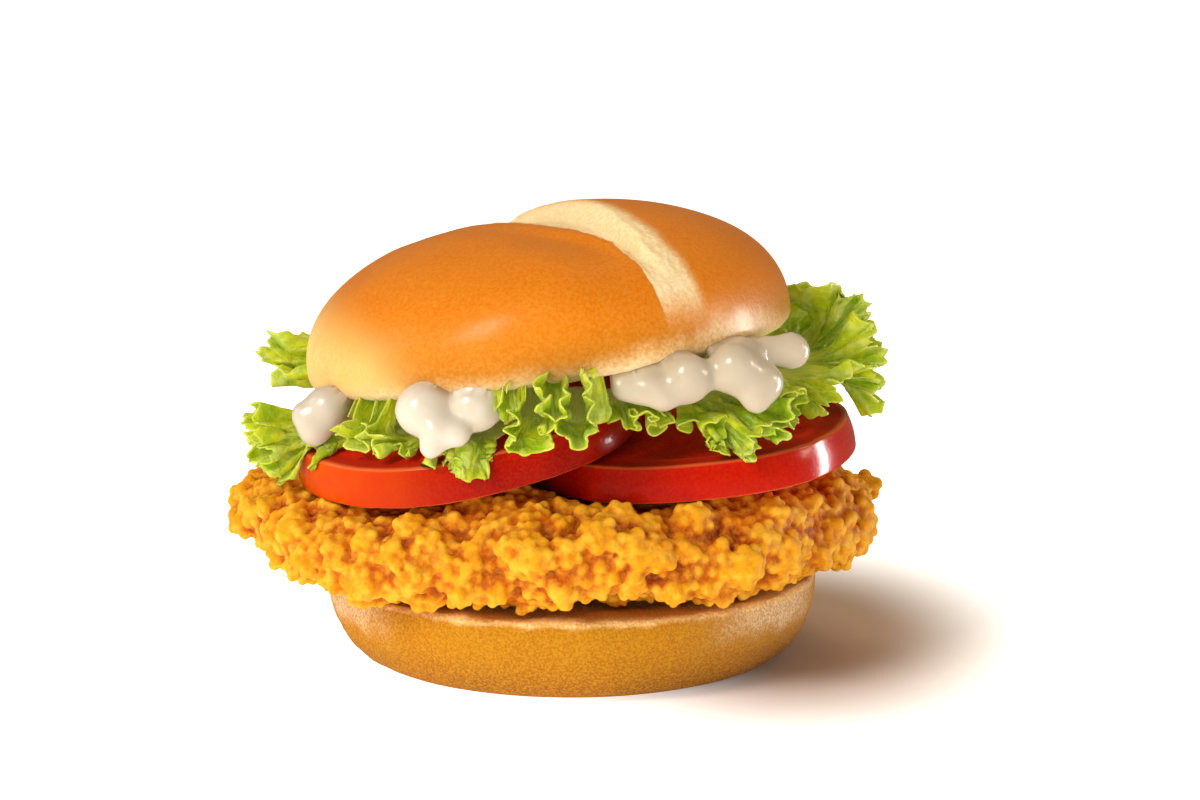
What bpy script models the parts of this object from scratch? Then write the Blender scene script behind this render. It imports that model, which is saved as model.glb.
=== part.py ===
"""A chicken burger with a split top bun, a breaded patty, two tomato slices, lettuce and mayonnaise.

Metres, +Z up. The origin is the middle of the bottom bun's flat underside, the front faces -Y and the
right-hand tomato slice lies towards +X. Everything is stacked from the bottom bun up: each leaf and each
dollop is laid on what is already there, and is held down under the top bun.
"""
import math

import bmesh
import bpy
from mathutils import Euler, Matrix, Vector, noise
from mathutils.bvhtree import BVHTree

# Every piece keeps this much air to its neighbours.
GAP = 0.0003

# Bottom bun: a shallow bowl shape, cut flat on top.
HEEL_BASE_RADIUS = 0.0378
HEEL_RIM_RADIUS = 0.0500
HEEL_HEIGHT = 0.017
HEEL_EDGE_ROUND = 0.0014
HEEL_TOP_DISH = 0.0005
HEEL_TOP_SHARES = (0.3, 0.6, 0.85)
HEEL_EDGE_STEPS = 3
HEEL_SIDE_SHARES = (0.72, 0.50, 0.32, 0.17, 0.06, 0.0)
HEEL_STEPS = 36

# Breaded patty: a rounded oval slab with crags. Its clumps and crumbs are rounded cells: a cell is level
# with the smooth slab where its height passes the level given here, and cell reach is a share of its size.
PATTY_HALF_WIDTH = 0.0672
PATTY_HALF_DEPTH = 0.0550
PATTY_DEPTH_BELOW = 0.0110
PATTY_HEIGHT_ABOVE = 0.0145
PATTY_PRESS_MARGIN = 0.0030
PATTY_CENTRE = Vector((-0.0035, 0.0, 0.0290))
PATTY_EDGE_POWER = 0.5
PATTY_FACE_POWER = 0.85
PATTY_OUTLINE_WAVE = 0.035
PATTY_OUTLINE_WAVES = 1.6
CELL_REACH = 0.75
CRAG_SIZE = 0.0095
CRAG_HEIGHT = 0.0042
CRAG_LEVEL = 0.55
CRUMB_SIZE = 0.0052
CRUMB_HEIGHT = 0.0018
CRUMB_LEVEL = 0.5
SWELL_SIZE = 0.0285
SWELL_HEIGHT = 0.0021
PATTY_COLUMNS = 104
PATTY_ROWS = 18

# Tomato slices: roll lifts the right-hand side, pitch lowers the front.
TOMATO_TAPER = 0.0012
TOMATO_LOBES = 5
TOMATO_LOBE_DEPTH = 0.0004
TOMATO_SIDES = 38
TOMATO_EDGE_BEVEL = 0.0007
TOMATO_SLICES = {
    "tomato_slice_right": {
        "centre": (0.0244, -0.0115, 0.0418), "radius": 0.0330, "thickness": 0.0072,
        "roll": 5.0, "pitch": 3.0, "turn": 20,
    },
    "tomato_slice_left": {
        "centre": (-0.0200, -0.0130, 0.0448), "radius": 0.0345, "thickness": 0.0078,
        "roll": 10.5, "pitch": 6.5, "turn": -35,
    },
}

# Top bun: a dome over a rounded lower edge, split from its back left to its front right. The split's wall,
# slope and lip are pairs of places across it, as shares of its width; its ends are shares of the radius.
CROWN_CENTRE = Vector((-0.0046, 0.0, 0.0646))
CROWN_ROLL = 8.3
CROWN_PITCH = -2.5
CROWN_RADIUS = 0.0495
CROWN_DOME_HEIGHT = 0.0275
CROWN_BASE_DROP = 0.0036
CROWN_EDGE_TURN = 3.5
CROWN_LINES = 38
CROWN_RINGS = 22
CROWN_LINE_CROWDING = 0.55
SPLIT_ANGLE = -58.4
SPLIT_DEPTH = 0.0040
SPLIT_WIDTH = 0.0115
SPLIT_END_WIDTH = 0.0030
SPLIT_NARROWING = (-0.1, 0.85)
SPLIT_WALL = (-0.5, -0.1)
SPLIT_SLOPE = (0.35, 1.0)
SPLIT_FADE = (0.62, 0.98)
SPLIT_LIP = 0.0011
SPLIT_LIP_PLACE = -0.75
SPLIT_LIP_WIDTH = 0.45
SPLIT_LIP_FADE = (0.5, 0.9)
LEFT_LOBE_DROP = 0.0032
LEFT_LOBE_FADE = (0.3, 1.0)

# Lettuce: thin leaves. Rows from 0 to 1 run from a leaf's root to the rim it lies on, the others along its frill.
LEAF_THICKNESS = 0.0007
LEAF_CLEARANCE = 0.0010
LEAF_INNER_ROWS = (0.0, 0.55, 1.0)
LEAF_BRIDGE = 0.003
LEAF_PATH_STEPS = 10
LEAF_LIFT_RUN = 0.5
LEAF_FOLD_RUN = 0.7

# How far a leaf strays from its plain rule: shares of its folds, their swing, the frill's length and its ends.
LEAF_WANDER = 0.10
LEAF_SWING_SPREAD = 0.5
LEAF_LENGTH_SPREAD = 0.25
LEAF_END_TAPER = 0.45
LEAF_MEANDER = 0.06

# Soft pieces are pressed clear of the others in rounds. Moves are counted in clearances.
SETTLE_ROUNDS = 40
SETTLE_SPACING = 0.0025
SETTLE_SPREAD = 0.35
SETTLE_LONGEST = 2.0
SETTLE_SHORTEST = 0.01
SETTLE_DONE = 0.02
INSIDE_LOOK = -0.5

# Mayonnaise dollops are clusters of soft balls.
MAYO_CLEARANCE = 0.0004
MAYO_RESOLUTION = 0.0027
MAYO_WORKING_SCALE = 100.0
MAYO_BALL_REACH = 1.9
MAYO_THRESHOLD = 0.8

COLOURS = {
    "bread": ((0.83, 0.42, 0.10, 1), 0.45),
    "breading": ((0.85, 0.42, 0.05, 1), 0.6),
    "tomato": ((0.72, 0.04, 0.01, 1), 0.25),
    "lettuce": ((0.40, 0.60, 0.06, 1), 0.4),
    "mayonnaise": ((0.90, 0.86, 0.76, 1), 0.25),
}

# Each dollop's balls: (x, y, z, radius), in metres.
DOLLOPS = {
    "mayonnaise_left": (
        (-0.037, -0.0165, 0.0560, 0.0040), (-0.043, -0.0210, 0.0555, 0.0046), (-0.0485, -0.0260, 0.0550, 0.0048),
        (-0.0510, -0.0275, 0.0512, 0.0034),
    ),
    "mayonnaise_front": (
        (-0.021, -0.031, 0.0590, 0.0040), (-0.024, -0.037, 0.0585, 0.0046), (-0.0280, -0.0445, 0.0582, 0.0050),
        (-0.0180, -0.0450, 0.0590, 0.0046), (-0.0250, -0.0475, 0.0548, 0.0040),
    ),
    "mayonnaise_right": (
        (0.022, -0.035, 0.0650, 0.0042), (0.0145, -0.0430, 0.0625, 0.0042), (0.0225, -0.0435, 0.0640, 0.0048),
        (0.0315, -0.0415, 0.0655, 0.0052), (0.0370, -0.0405, 0.0628, 0.0044), (0.033, -0.035, 0.0665, 0.0042),
        (0.038, -0.031, 0.0672, 0.0040), (0.0435, -0.0290, 0.0675, 0.0038),
    ),
}

# Each leaf fans out from an arc round the burger's middle. Angles are in degrees: azimuth runs anticlockwise
# from +X, lift is how far the frill points up from level at the leaf's two ends, and fold is how far its
# ruffles swing. Lengths are in metres: root and rim are radii, each with its height, and frill is how far the
# leaf reaches past the rim at its two ends. Smooth is the share of that which stays free of ruffles.
LEAVES = {
    "lettuce_back": {
        "azimuth": (133, 84), "root": (0.025, 0.057), "rim": (0.037, 0.0535), "frill": (0.019, 0.019),
        "lift": (-12, -18), "folds": 3.8, "fold": 52, "smooth": 0.0, "phase": 0.3, "seed": 1,
        "columns": 24, "rows": 3,
    },
    "lettuce_back_right": {
        "azimuth": (78, 24), "root": (0.020, 0.057), "rim": (0.036, 0.0575), "frill": (0.020, 0.021),
        "lift": (-15, 5), "folds": 4.2, "fold": 52, "smooth": 0.0, "phase": 1.2, "seed": 2,
        "columns": 26, "rows": 3,
    },
    "lettuce_left": {
        "azimuth": (-150, -178), "root": (0.018, 0.0525), "rim": (0.044, 0.0505), "frill": (0.020, 0.022),
        "lift": (-34, -10), "folds": 2.6, "fold": 42, "smooth": 0.1, "phase": 0.6, "seed": 5,
        "columns": 26, "rows": 3,
    },
    "lettuce_left_back": {
        "azimuth": (178, 145), "root": (0.027, 0.0565), "rim": (0.045, 0.0525), "frill": (0.020, 0.015),
        "lift": (46, -5), "folds": 2.9, "fold": 38, "smooth": 0.1, "phase": 0.2, "seed": 6,
        "columns": 24, "rows": 3,
    },
    "lettuce_front_dip": {
        "azimuth": (-108, -123), "root": (0.020, 0.0525), "rim": (0.044, 0.0505), "frill": (0.010, 0.011),
        "lift": (-25, -20), "folds": 2.1, "fold": 32, "smooth": 0.0, "phase": 0.0, "seed": 8,
        "columns": 22, "rows": 3,
    },
    "lettuce_front_left": {
        "azimuth": (-127, -146), "root": (0.018, 0.0525), "rim": (0.043, 0.0505), "frill": (0.014, 0.018),
        "lift": (0, 26), "folds": 2.1, "fold": 42, "smooth": 0.0, "phase": 1.0, "seed": 7,
        "columns": 24, "rows": 3,
    },
    "lettuce_under_right": {
        "azimuth": (-63, -78), "root": (0.028, 0.0590), "rim": (0.036, 0.0580), "frill": (0.012, 0.012),
        "lift": (-25, -5), "folds": 1.7, "fold": 34, "smooth": 0.0, "phase": 0.0, "seed": 4,
        "columns": 18, "rows": 3,
    },
    "lettuce_front_right": {
        "azimuth": (-29, -58), "root": (0.024, 0.0600), "rim": (0.036, 0.0590), "frill": (0.023, 0.020),
        "lift": (-12, -45), "folds": 3.6, "fold": 42, "smooth": 0.0, "phase": 2.6, "seed": 10,
        "columns": 34, "rows": 3,
    },
    "lettuce_front_middle": {
        "azimuth": (-84, -105), "root": (0.018, 0.0580), "rim": (0.044, 0.0560), "frill": (0.018, 0.013),
        "lift": (56, 5), "folds": 2.3, "fold": 42, "smooth": 0.0, "phase": 0.1, "seed": 9,
        "columns": 26, "rows": 3,
    },
    "lettuce_right": {
        "azimuth": (22, -20), "root": (0.020, 0.0600), "rim": (0.045, 0.0600), "frill": (0.021, 0.021),
        "lift": (62, -18), "folds": 4.6, "fold": 44, "smooth": 0.1, "phase": 0.9, "seed": 11,
        "columns": 36, "rows": 4,
    },
}


def clear_scene():
    for old in list(bpy.data.objects):
        bpy.data.objects.remove(old, do_unlink=True)


def make_collection(name):
    collection = bpy.data.collections.new(name)
    bpy.context.scene.collection.children.link(collection)
    return collection


def make_material(name):
    colour, roughness = COLOURS[name]
    material = bpy.data.materials.new(name)
    material.use_nodes = True
    shader = material.node_tree.nodes["Principled BSDF"]
    shader.inputs["Base Color"].default_value = colour
    shader.inputs["Roughness"].default_value = roughness
    shader.inputs["Metallic"].default_value = 0.0
    material.diffuse_color = colour
    return material


def add_object(name, mesh, material, collection):
    mesh.materials.append(material)
    piece = bpy.data.objects.new(name, mesh)
    collection.objects.link(piece)
    return piece


def mesh_from(bm, name):
    mesh = bpy.data.meshes.new(name)
    bmesh.ops.recalc_face_normals(bm, faces=bm.faces[:])
    bm.to_mesh(mesh)
    bm.free()
    mesh.shade_smooth()
    return mesh


def smoothstep(low, high, value):
    """0 below low, 1 above high, and a smooth rise between them."""
    share = min(1.0, max(0.0, (value - low) / (high - low)))
    return share * share * (3 - 2 * share)


def placed_mesh(piece):
    """The finished corners and faces of a piece where it stands."""
    bpy.context.view_layer.update()
    evaluated = piece.evaluated_get(bpy.context.evaluated_depsgraph_get())
    mesh = evaluated.to_mesh()
    points = [evaluated.matrix_world @ vertex.co for vertex in mesh.vertices]
    faces = [tuple(polygon.vertices) for polygon in mesh.polygons]
    evaluated.to_mesh_clear()
    return points, faces


class Stack:
    """What has been laid down so far. Each new piece is fitted round it."""

    HIGH = 0.2
    LOW = -0.1

    def __init__(self):
        self.below = []
        self.above = []
        self.points = []
        self.faces = []
        self.skin = None

    def add(self, piece, presses_down=False):
        points, faces = placed_mesh(piece)
        (self.above if presses_down else self.below).append(BVHTree.FromPolygons(points, faces))
        first = len(self.points)
        self.points += points
        self.faces += [tuple(first + corner for corner in face) for face in faces]
        self.skin = BVHTree.FromPolygons(self.points, self.faces)

    def over(self, point, clearance, probe=0.0):
        """The point, raised until it clears what lies below it."""
        lowest = max(self._hits(self.below, point, probe, self.HIGH, -1), default=self.LOW) + clearance
        return Vector((point.x, point.y, max(point.z, lowest)))

    def under(self, point, clearance, probe=0.0):
        """The point, lowered until it clears what presses on it."""
        highest = min(self._hits(self.above, point, probe, self.LOW, 1), default=self.HIGH) - clearance
        return Vector((point.x, point.y, min(point.z, highest)))

    def _hits(self, trees, point, probe, start, way):
        found = []
        for dx, dy in ((0, 0), (probe, 0), (-probe, 0), (0, probe), (0, -probe)):
            for tree in trees:
                hit = tree.ray_cast(Vector((point.x + dx, point.y + dy, start)), Vector((0, 0, way)))[0]
                if hit is not None:
                    found.append(hit.z)
        return found

    def push(self, point, clearance):
        """The move that takes a point clear of everything laid down so far."""
        spot, normal, _, distance = self.skin.find_nearest(point)
        away = point - spot
        # A point that is truly inside looks back at a face squarely. Beside a sharp corner it only seems to be.
        if away.dot(normal) < INSIDE_LOOK * distance:
            return normal * clearance - away
        if distance >= clearance:
            return Vector()
        way = away.normalized() if distance > clearance / 4 else normal
        return way * (clearance - distance)

    def settle(self, bm, clearance):
        """Presses a soft mesh clear of everything, by testing places all over its faces."""
        probes = [probe for face in bm.faces for probe in face_probes(face)]
        for turn in range(SETTLE_ROUNDS):
            moves = {vertex: Vector() for vertex in bm.verts}
            for corners, weights in probes:
                place = sum((corner.co * weight for corner, weight in zip(corners, weights)), Vector())
                move = self.push(place, clearance)
                if move.length < SETTLE_SHORTEST * clearance:
                    continue
                move *= min(1.0, SETTLE_LONGEST * clearance / move.length)
                lever = sum(weight * weight for weight in weights)
                for corner, weight in zip(corners, weights):
                    share = move * (weight / lever)
                    if share.length > moves[corner].length:
                        moves[corner] = share
            if max(move.length for move in moves.values()) < SETTLE_DONE * clearance:
                break
            spread = SETTLE_SPREAD if turn < SETTLE_ROUNDS / 2 else 0.0
            for vertex in bm.verts:
                around = [moves[edge.other_vert(vertex)] for edge in vertex.link_edges]
                mean = sum(around, Vector()) / len(around)
                vertex.co += moves[vertex] * (1 - spread) + mean * spread


def face_probes(face):
    """Places spread over a triangle, each as the shares of its corners."""
    steps = 1 + int(max(edge.calc_length() for edge in face.edges) / SETTLE_SPACING)
    probes = []
    for i in range(steps + 1):
        for j in range(steps + 1 - i):
            probes.append((face.verts[:], (1 - (i + j) / steps, i / steps, j / steps)))
    return probes


def make_heel(collection, material):
    """The bottom bun, turned from half of its section. The side is a quarter of an ellipse."""
    side_top = HEEL_HEIGHT - HEEL_EDGE_ROUND
    profile = [(0.0, HEEL_HEIGHT - HEEL_TOP_DISH)]
    for share in HEEL_TOP_SHARES:
        profile.append((HEEL_RIM_RADIUS * share, HEEL_HEIGHT - HEEL_TOP_DISH * (1 - share)))
    for step in range(HEEL_EDGE_STEPS + 1):
        turn = math.radians(90 * (1 - step / HEEL_EDGE_STEPS))
        profile.append((
            HEEL_RIM_RADIUS - HEEL_EDGE_ROUND + HEEL_EDGE_ROUND * math.cos(turn),
            side_top + HEEL_EDGE_ROUND * math.sin(turn),
        ))
    bulge = HEEL_RIM_RADIUS - HEEL_BASE_RADIUS
    for share in HEEL_SIDE_SHARES:
        profile.append((HEEL_BASE_RADIUS + bulge * math.sqrt(1 - (1 - share) ** 2), side_top * share))
    profile.append((0.0, 0.0))

    mesh = bpy.data.meshes.new("bun_heel")
    edges = [(index, index + 1) for index in range(len(profile) - 1)]
    mesh.from_pydata([(radius, 0.0, height) for radius, height in profile], edges, [])
    heel = add_object("bun_heel", mesh, material, collection)
    turned = heel.modifiers.new("turned", "SCREW")
    turned.steps = HEEL_STEPS
    turned.render_steps = HEEL_STEPS
    turned.use_merge_vertices = True
    turned.merge_threshold = 0.00001
    turned.use_smooth_shade = True
    return heel


def make_tomato(name, place, collection, material):
    """A slice with a slightly lobed outline, wider at its lower face, and softened edges."""
    radius = place["radius"]
    bm = bmesh.new()
    bmesh.ops.create_cone(
        bm, cap_ends=True, segments=TOMATO_SIDES, depth=place["thickness"],
        radius1=radius, radius2=radius - TOMATO_TAPER,
    )
    for vertex in bm.verts:
        around = math.atan2(vertex.co.y, vertex.co.x)
        vertex.co.xy *= 1 + TOMATO_LOBE_DEPTH / radius * math.cos(TOMATO_LOBES * around)
        vertex.co.z += place["thickness"] / 2
    tomato = add_object(name, mesh_from(bm, name), material, collection)
    tomato.data.set_sharp_from_angle(angle=math.radians(40))
    tomato.location = place["centre"]
    turn = Matrix.Rotation(math.radians(place["turn"]), 3, "Z")
    pitch = Matrix.Rotation(math.radians(place["pitch"]), 3, "X")
    roll = Matrix.Rotation(math.radians(-place["roll"]), 3, "Y")
    tomato.rotation_euler = (roll @ pitch @ turn).to_euler()
    edge = tomato.modifiers.new("edge", "BEVEL")
    edge.width = TOMATO_EDGE_BEVEL
    edge.segments = 1
    edge.limit_method = "ANGLE"
    edge.angle_limit = math.radians(40)
    return tomato


def split_cut(along, across):
    """How far the split lowers the dome, at a place measured along and across it, in metres.

    The left lobe (across < 0) ends in a raised lip over a steep wall, the right one slopes up gently.
    The split is widest just behind the top and closes towards its ends."""
    reach = abs(along) / CROWN_RADIUS
    front = smoothstep(*SPLIT_NARROWING, along / CROWN_RADIUS)
    width = SPLIT_WIDTH + (SPLIT_END_WIDTH - SPLIT_WIDTH) * front
    place = across / width
    depth = SPLIT_DEPTH * (1 - smoothstep(*SPLIT_FADE, reach))
    wall = smoothstep(*SPLIT_WALL, place)
    slope = 1 - smoothstep(*SPLIT_SLOPE, place)
    lip = SPLIT_LIP * math.exp(-(((place - SPLIT_LIP_PLACE) / SPLIT_LIP_WIDTH) ** 2))
    lip *= 1 - smoothstep(*SPLIT_LIP_FADE, reach)
    lobe = LEFT_LOBE_DROP * (1 - wall) * (1 - smoothstep(*LEFT_LOBE_FADE, reach))
    return depth * wall * slope + lobe - lip


def crown_point(direction):
    """Moves a point of a unit sphere, in axes along and across the split, onto the top bun."""
    along, across, up = direction
    if up >= 0:
        height = CROWN_DOME_HEIGHT * up
        height -= split_cut(along * CROWN_RADIUS, across * CROWN_RADIUS) * smoothstep(0.0, 0.35, up)
    else:
        below = min(math.pi / 2, CROWN_EDGE_TURN * math.asin(min(1.0, -up)))
        height = -CROWN_BASE_DROP * math.sin(below)
    return Vector((along * CROWN_RADIUS, across * CROWN_RADIUS, height))


def make_crown(collection, material):
    """The top bun: a sphere whose poles lie at the split's two ends, so that its lines run along the split."""
    bm = bmesh.new()
    bmesh.ops.create_uvsphere(bm, u_segments=CROWN_LINES, v_segments=CROWN_RINGS, radius=1)
    split = Matrix.Rotation(math.radians(SPLIT_ANGLE), 3, "Z")
    for vertex in bm.verts:
        # The sphere's own axis is laid level: its longitude becomes the angle from straight up.
        along = vertex.co.z
        ring = math.hypot(vertex.co.x, vertex.co.y)
        turn = math.atan2(vertex.co.y, vertex.co.x)
        turn -= CROWN_LINE_CROWDING * math.sin(turn)
        vertex.co = split @ crown_point((along, ring * math.sin(turn), ring * math.cos(turn)))
    crown = add_object("bun_crown", mesh_from(bm, "bun_crown"), material, collection)
    crown.location = CROWN_CENTRE
    crown.rotation_euler = Euler((math.radians(CROWN_PITCH), math.radians(-CROWN_ROLL), 0))
    return crown


def crag_height(point):
    """The relief of the crust: rounded clumps with crevices between them, and smaller crumbs on them."""
    relief = SWELL_HEIGHT * noise.noise(point / SWELL_SIZE)
    for size, height, level in (
        (CRAG_SIZE, CRAG_HEIGHT, CRAG_LEVEL),
        (CRUMB_SIZE, CRUMB_HEIGHT, CRUMB_LEVEL),
    ):
        from_middle = noise.voronoi(point / size)[0][0]
        relief += height * (1 - min(1.0, from_middle / CELL_REACH) ** 2 - level)
    return relief


def make_patty(collection, material, stack):
    """The breaded fillet: a flattened sphere with an oval outline, roughened into crags.

    Where the bun and the tomato slices press on it, it stays flat and clear of them."""
    bm = bmesh.new()
    bmesh.ops.create_uvsphere(bm, u_segments=PATTY_COLUMNS, v_segments=PATTY_ROWS, radius=1)
    for vertex in bm.verts:
        level = math.hypot(vertex.co.x, vertex.co.y)
        around = math.atan2(vertex.co.y, vertex.co.x)
        spread = level ** PATTY_EDGE_POWER
        rise = abs(vertex.co.z) ** PATTY_FACE_POWER
        rise *= PATTY_HEIGHT_ABOVE if vertex.co.z > 0 else -PATTY_DEPTH_BELOW
        ring = Vector((math.cos(around), math.sin(around), 0)) * PATTY_OUTLINE_WAVES
        outline = 1 + PATTY_OUTLINE_WAVE * noise.noise(ring + Vector((0, 0, 3)))
        smooth = PATTY_CENTRE + Vector((
            PATTY_HALF_WIDTH * outline * spread * math.cos(around),
            PATTY_HALF_DEPTH * outline * spread * math.sin(around),
            rise,
        ))
        outward = Vector((level * math.cos(around), level * math.sin(around), 0.8 * vertex.co.z)).normalized()
        rough = smooth + outward * crag_height(smooth)
        pressed = stack.over(rough, 2 * GAP, PATTY_PRESS_MARGIN)
        vertex.co = stack.under(pressed, 2 * GAP, PATTY_PRESS_MARGIN)
    bmesh.ops.triangulate(bm, faces=bm.faces[:])
    stack.settle(bm, 2 * GAP)
    return add_object("chicken_patty", mesh_from(bm, "chicken_patty"), material, collection)


def leaf_point(leaf, u, row):
    """A point of the leaf as it would hang free: u runs along its frill, row from its root to its margin."""
    seed = leaf["seed"]
    wander = noise.noise(Vector((3.1 * u, 7.7 * seed, 0.5)))
    ruffle = 2 * math.pi * leaf["folds"] * (u + LEAF_WANDER * wander) + leaf["phase"]
    swing = noise.noise(Vector((4.3 * u, 5.1 * seed, 1.5)))
    fold = math.radians(leaf["fold"]) * (1 + LEAF_SWING_SPREAD * swing)
    lift = math.radians(leaf["lift"][0] + (leaf["lift"][1] - leaf["lift"][0]) * u)
    frill = leaf["frill"][0] + (leaf["frill"][1] - leaf["frill"][0]) * u
    frill *= 1 + LEAF_LENGTH_SPREAD * noise.noise(Vector((7.7 * u, 2.3 * seed, 2.5)))
    frill *= 1 - LEAF_END_TAPER * abs(2 * u - 1) ** 5

    (root, root_height), (rim, rim_height) = leaf["root"], leaf["rim"]
    inner = min(1.0, row)
    radius = root + (rim - root) * inner
    height = root_height + (rim_height - root_height) * inner
    outer = max(0.0, row - 1)
    for index in range(LEAF_PATH_STEPS):
        here = outer * (index + 0.5) / LEAF_PATH_STEPS
        climb = lift * smoothstep(0.0, LEAF_LIFT_RUN, here)
        climb += fold * math.cos(ruffle) * smoothstep(leaf["smooth"], leaf["smooth"] + LEAF_FOLD_RUN, here)
        radius += frill * outer / LEAF_PATH_STEPS * math.cos(climb)
        height += frill * outer / LEAF_PATH_STEPS * math.sin(climb)

    start, end = (math.radians(angle) for angle in leaf["azimuth"])
    ruffle_width = (end - start) / leaf["folds"]
    azimuth = start + (end - start) * u + LEAF_MEANDER * ruffle_width * math.sin(2 * ruffle) * outer
    return Vector((radius * math.cos(azimuth), radius * math.sin(azimuth), height))


def make_leaf(name, leaf, collection, material, stack):
    """One leaf: a sheet fitted between what is below it and above it, then given its thickness."""
    bm = bmesh.new()
    rows = LEAF_INNER_ROWS + tuple(1 + (index + 1) / leaf["rows"] for index in range(leaf["rows"]))
    last_row = len(rows) - 1
    bmesh.ops.create_grid(bm, x_segments=leaf["columns"] - 1, y_segments=last_row, size=1)
    for vertex in bm.verts:
        u = (vertex.co.x + 1) / 2
        row = rows[round((vertex.co.y + 1) / 2 * last_row)]
        vertex.co = stack.over(leaf_point(leaf, u, row), LEAF_CLEARANCE, LEAF_BRIDGE if row <= 1 else 0.0)
        if row <= 1:
            vertex.co = stack.under(vertex.co, LEAF_CLEARANCE)
    bmesh.ops.triangulate(bm, faces=bm.faces[:])
    stack.settle(bm, LEAF_CLEARANCE)
    piece = add_object(name, mesh_from(bm, name), material, collection)
    sheet = piece.modifiers.new("thickness", "SOLIDIFY")
    sheet.thickness = LEAF_THICKNESS
    sheet.offset = 0
    return piece


def make_dollop(name, balls, collection, material, stack):
    """One dollop: soft balls run together into a mesh, pressed under the bun.

    The mesh is worked out at a large scale, because its cells can't be small enough at the true one."""
    cluster = bpy.data.metaballs.new(name + "_balls")
    cluster.resolution = MAYO_RESOLUTION * MAYO_WORKING_SCALE
    cluster.threshold = MAYO_THRESHOLD
    for x, y, z, radius in balls:
        ball = cluster.elements.new()
        ball.co = Vector((x, y, z)) * MAYO_WORKING_SCALE
        ball.radius = radius * MAYO_BALL_REACH * MAYO_WORKING_SCALE
    source = bpy.data.objects.new(name + "_source", cluster)
    collection.objects.link(source)
    bpy.context.view_layer.update()
    rough = bpy.data.meshes.new_from_object(source.evaluated_get(bpy.context.evaluated_depsgraph_get()))
    bpy.data.objects.remove(source)
    bm = bmesh.new()
    bm.from_mesh(rough)
    bmesh.ops.scale(bm, vec=(1 / MAYO_WORKING_SCALE,) * 3, verts=bm.verts[:])
    bmesh.ops.remove_doubles(bm, verts=bm.verts[:], dist=MAYO_RESOLUTION / 3)
    bmesh.ops.triangulate(bm, faces=bm.faces[:])
    stack.settle(bm, MAYO_CLEARANCE)
    return add_object(name, mesh_from(bm, name), material, collection)


def main():
    clear_scene()
    burger = make_collection("chicken_burger")
    finish = {name: make_material(name) for name in COLOURS}
    stack = Stack()

    stack.add(make_heel(burger, finish["bread"]))
    for name, place in TOMATO_SLICES.items():
        stack.add(make_tomato(name, place, burger, finish["tomato"]), presses_down=True)
    patty = make_patty(burger, finish["breading"], stack)
    stack.below += stack.above
    stack.above = []
    stack.add(patty)

    stack.add(make_crown(burger, finish["bread"]), presses_down=True)
    for name, balls in DOLLOPS.items():
        stack.add(make_dollop(name, balls, burger, finish["mayonnaise"], stack), presses_down=True)
    for name, leaf in LEAVES.items():
        stack.add(make_leaf(name, leaf, burger, finish["lettuce"], stack))


main()
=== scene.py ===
# %% [markdown]
# # Dressing a chicken burger
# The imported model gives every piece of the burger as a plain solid: two bun halves, a breaded fillet, two
# tomato slices, ten lettuce leaves and three dollops of mayonnaise. This lesson gives each of them its real
# surface. A solid could be kept and only painted, but food is all relief, so here each piece is rebuilt at
# a finer scale in the place and form of its solid, and then painted with procedural materials.

import math
from collections import namedtuple

import bmesh
import bpy
import numpy as np
from mathutils import Euler, Matrix, Vector, noise
from mathutils.bvhtree import BVHTree


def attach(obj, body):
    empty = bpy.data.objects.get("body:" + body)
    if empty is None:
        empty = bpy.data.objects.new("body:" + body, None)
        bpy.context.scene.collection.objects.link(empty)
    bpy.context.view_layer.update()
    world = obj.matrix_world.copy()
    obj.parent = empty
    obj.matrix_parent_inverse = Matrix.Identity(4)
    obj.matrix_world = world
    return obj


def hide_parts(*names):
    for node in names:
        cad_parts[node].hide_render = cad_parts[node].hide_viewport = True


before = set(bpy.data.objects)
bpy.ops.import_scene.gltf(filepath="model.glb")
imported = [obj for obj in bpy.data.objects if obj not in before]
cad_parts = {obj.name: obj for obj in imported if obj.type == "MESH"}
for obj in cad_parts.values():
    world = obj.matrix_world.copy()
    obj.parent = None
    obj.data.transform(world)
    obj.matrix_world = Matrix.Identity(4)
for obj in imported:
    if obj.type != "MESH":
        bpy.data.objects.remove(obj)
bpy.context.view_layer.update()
print("solids loaded:", len(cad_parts))

# %% [markdown]
# ## The camera
# The photograph looks slightly down on the burger's front through a long lens, which keeps the buns' edges
# nearly level. A camera could be aimed by hand, but one turned by an elevation round a target is easier to
# check against the picture.

# %% Place the camera
CAMERA_TARGET = Vector((0.0057, 0.0, 0.052))
CAMERA_DISTANCE = 0.6803
CAMERA_ELEVATION = math.radians(10.3)

camera = bpy.data.objects.new("camera", bpy.data.cameras.new("camera"))
camera.data.lens = 100
camera.data.sensor_width = 36
camera.data.clip_start = 0.01
camera.location = CAMERA_TARGET + CAMERA_DISTANCE * Vector((
    0, -math.cos(CAMERA_ELEVATION), math.sin(CAMERA_ELEVATION)
))
camera.rotation_euler = (math.pi / 2 - CAMERA_ELEVATION, 0, 0)
bpy.context.scene.collection.objects.link(camera)
bpy.context.scene.camera = camera
print("camera at", [round(value, 3) for value in camera.location])

# %% [markdown]
# ## The light
# The photograph has a white ground and large soft lights: a strong one from the left and the front, one
# above and behind, a low one that reaches under the breading to the bottom bun, and smaller ones that gleam
# at both sides. Large area lights give that softness. A bright world would wash out the bun's browns, and
# so would the mirror images of the lights above and in front, so the world is dim and warm and those two
# are hidden from reflections. A narrow strip shows only as a gleam on the tomato.

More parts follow.
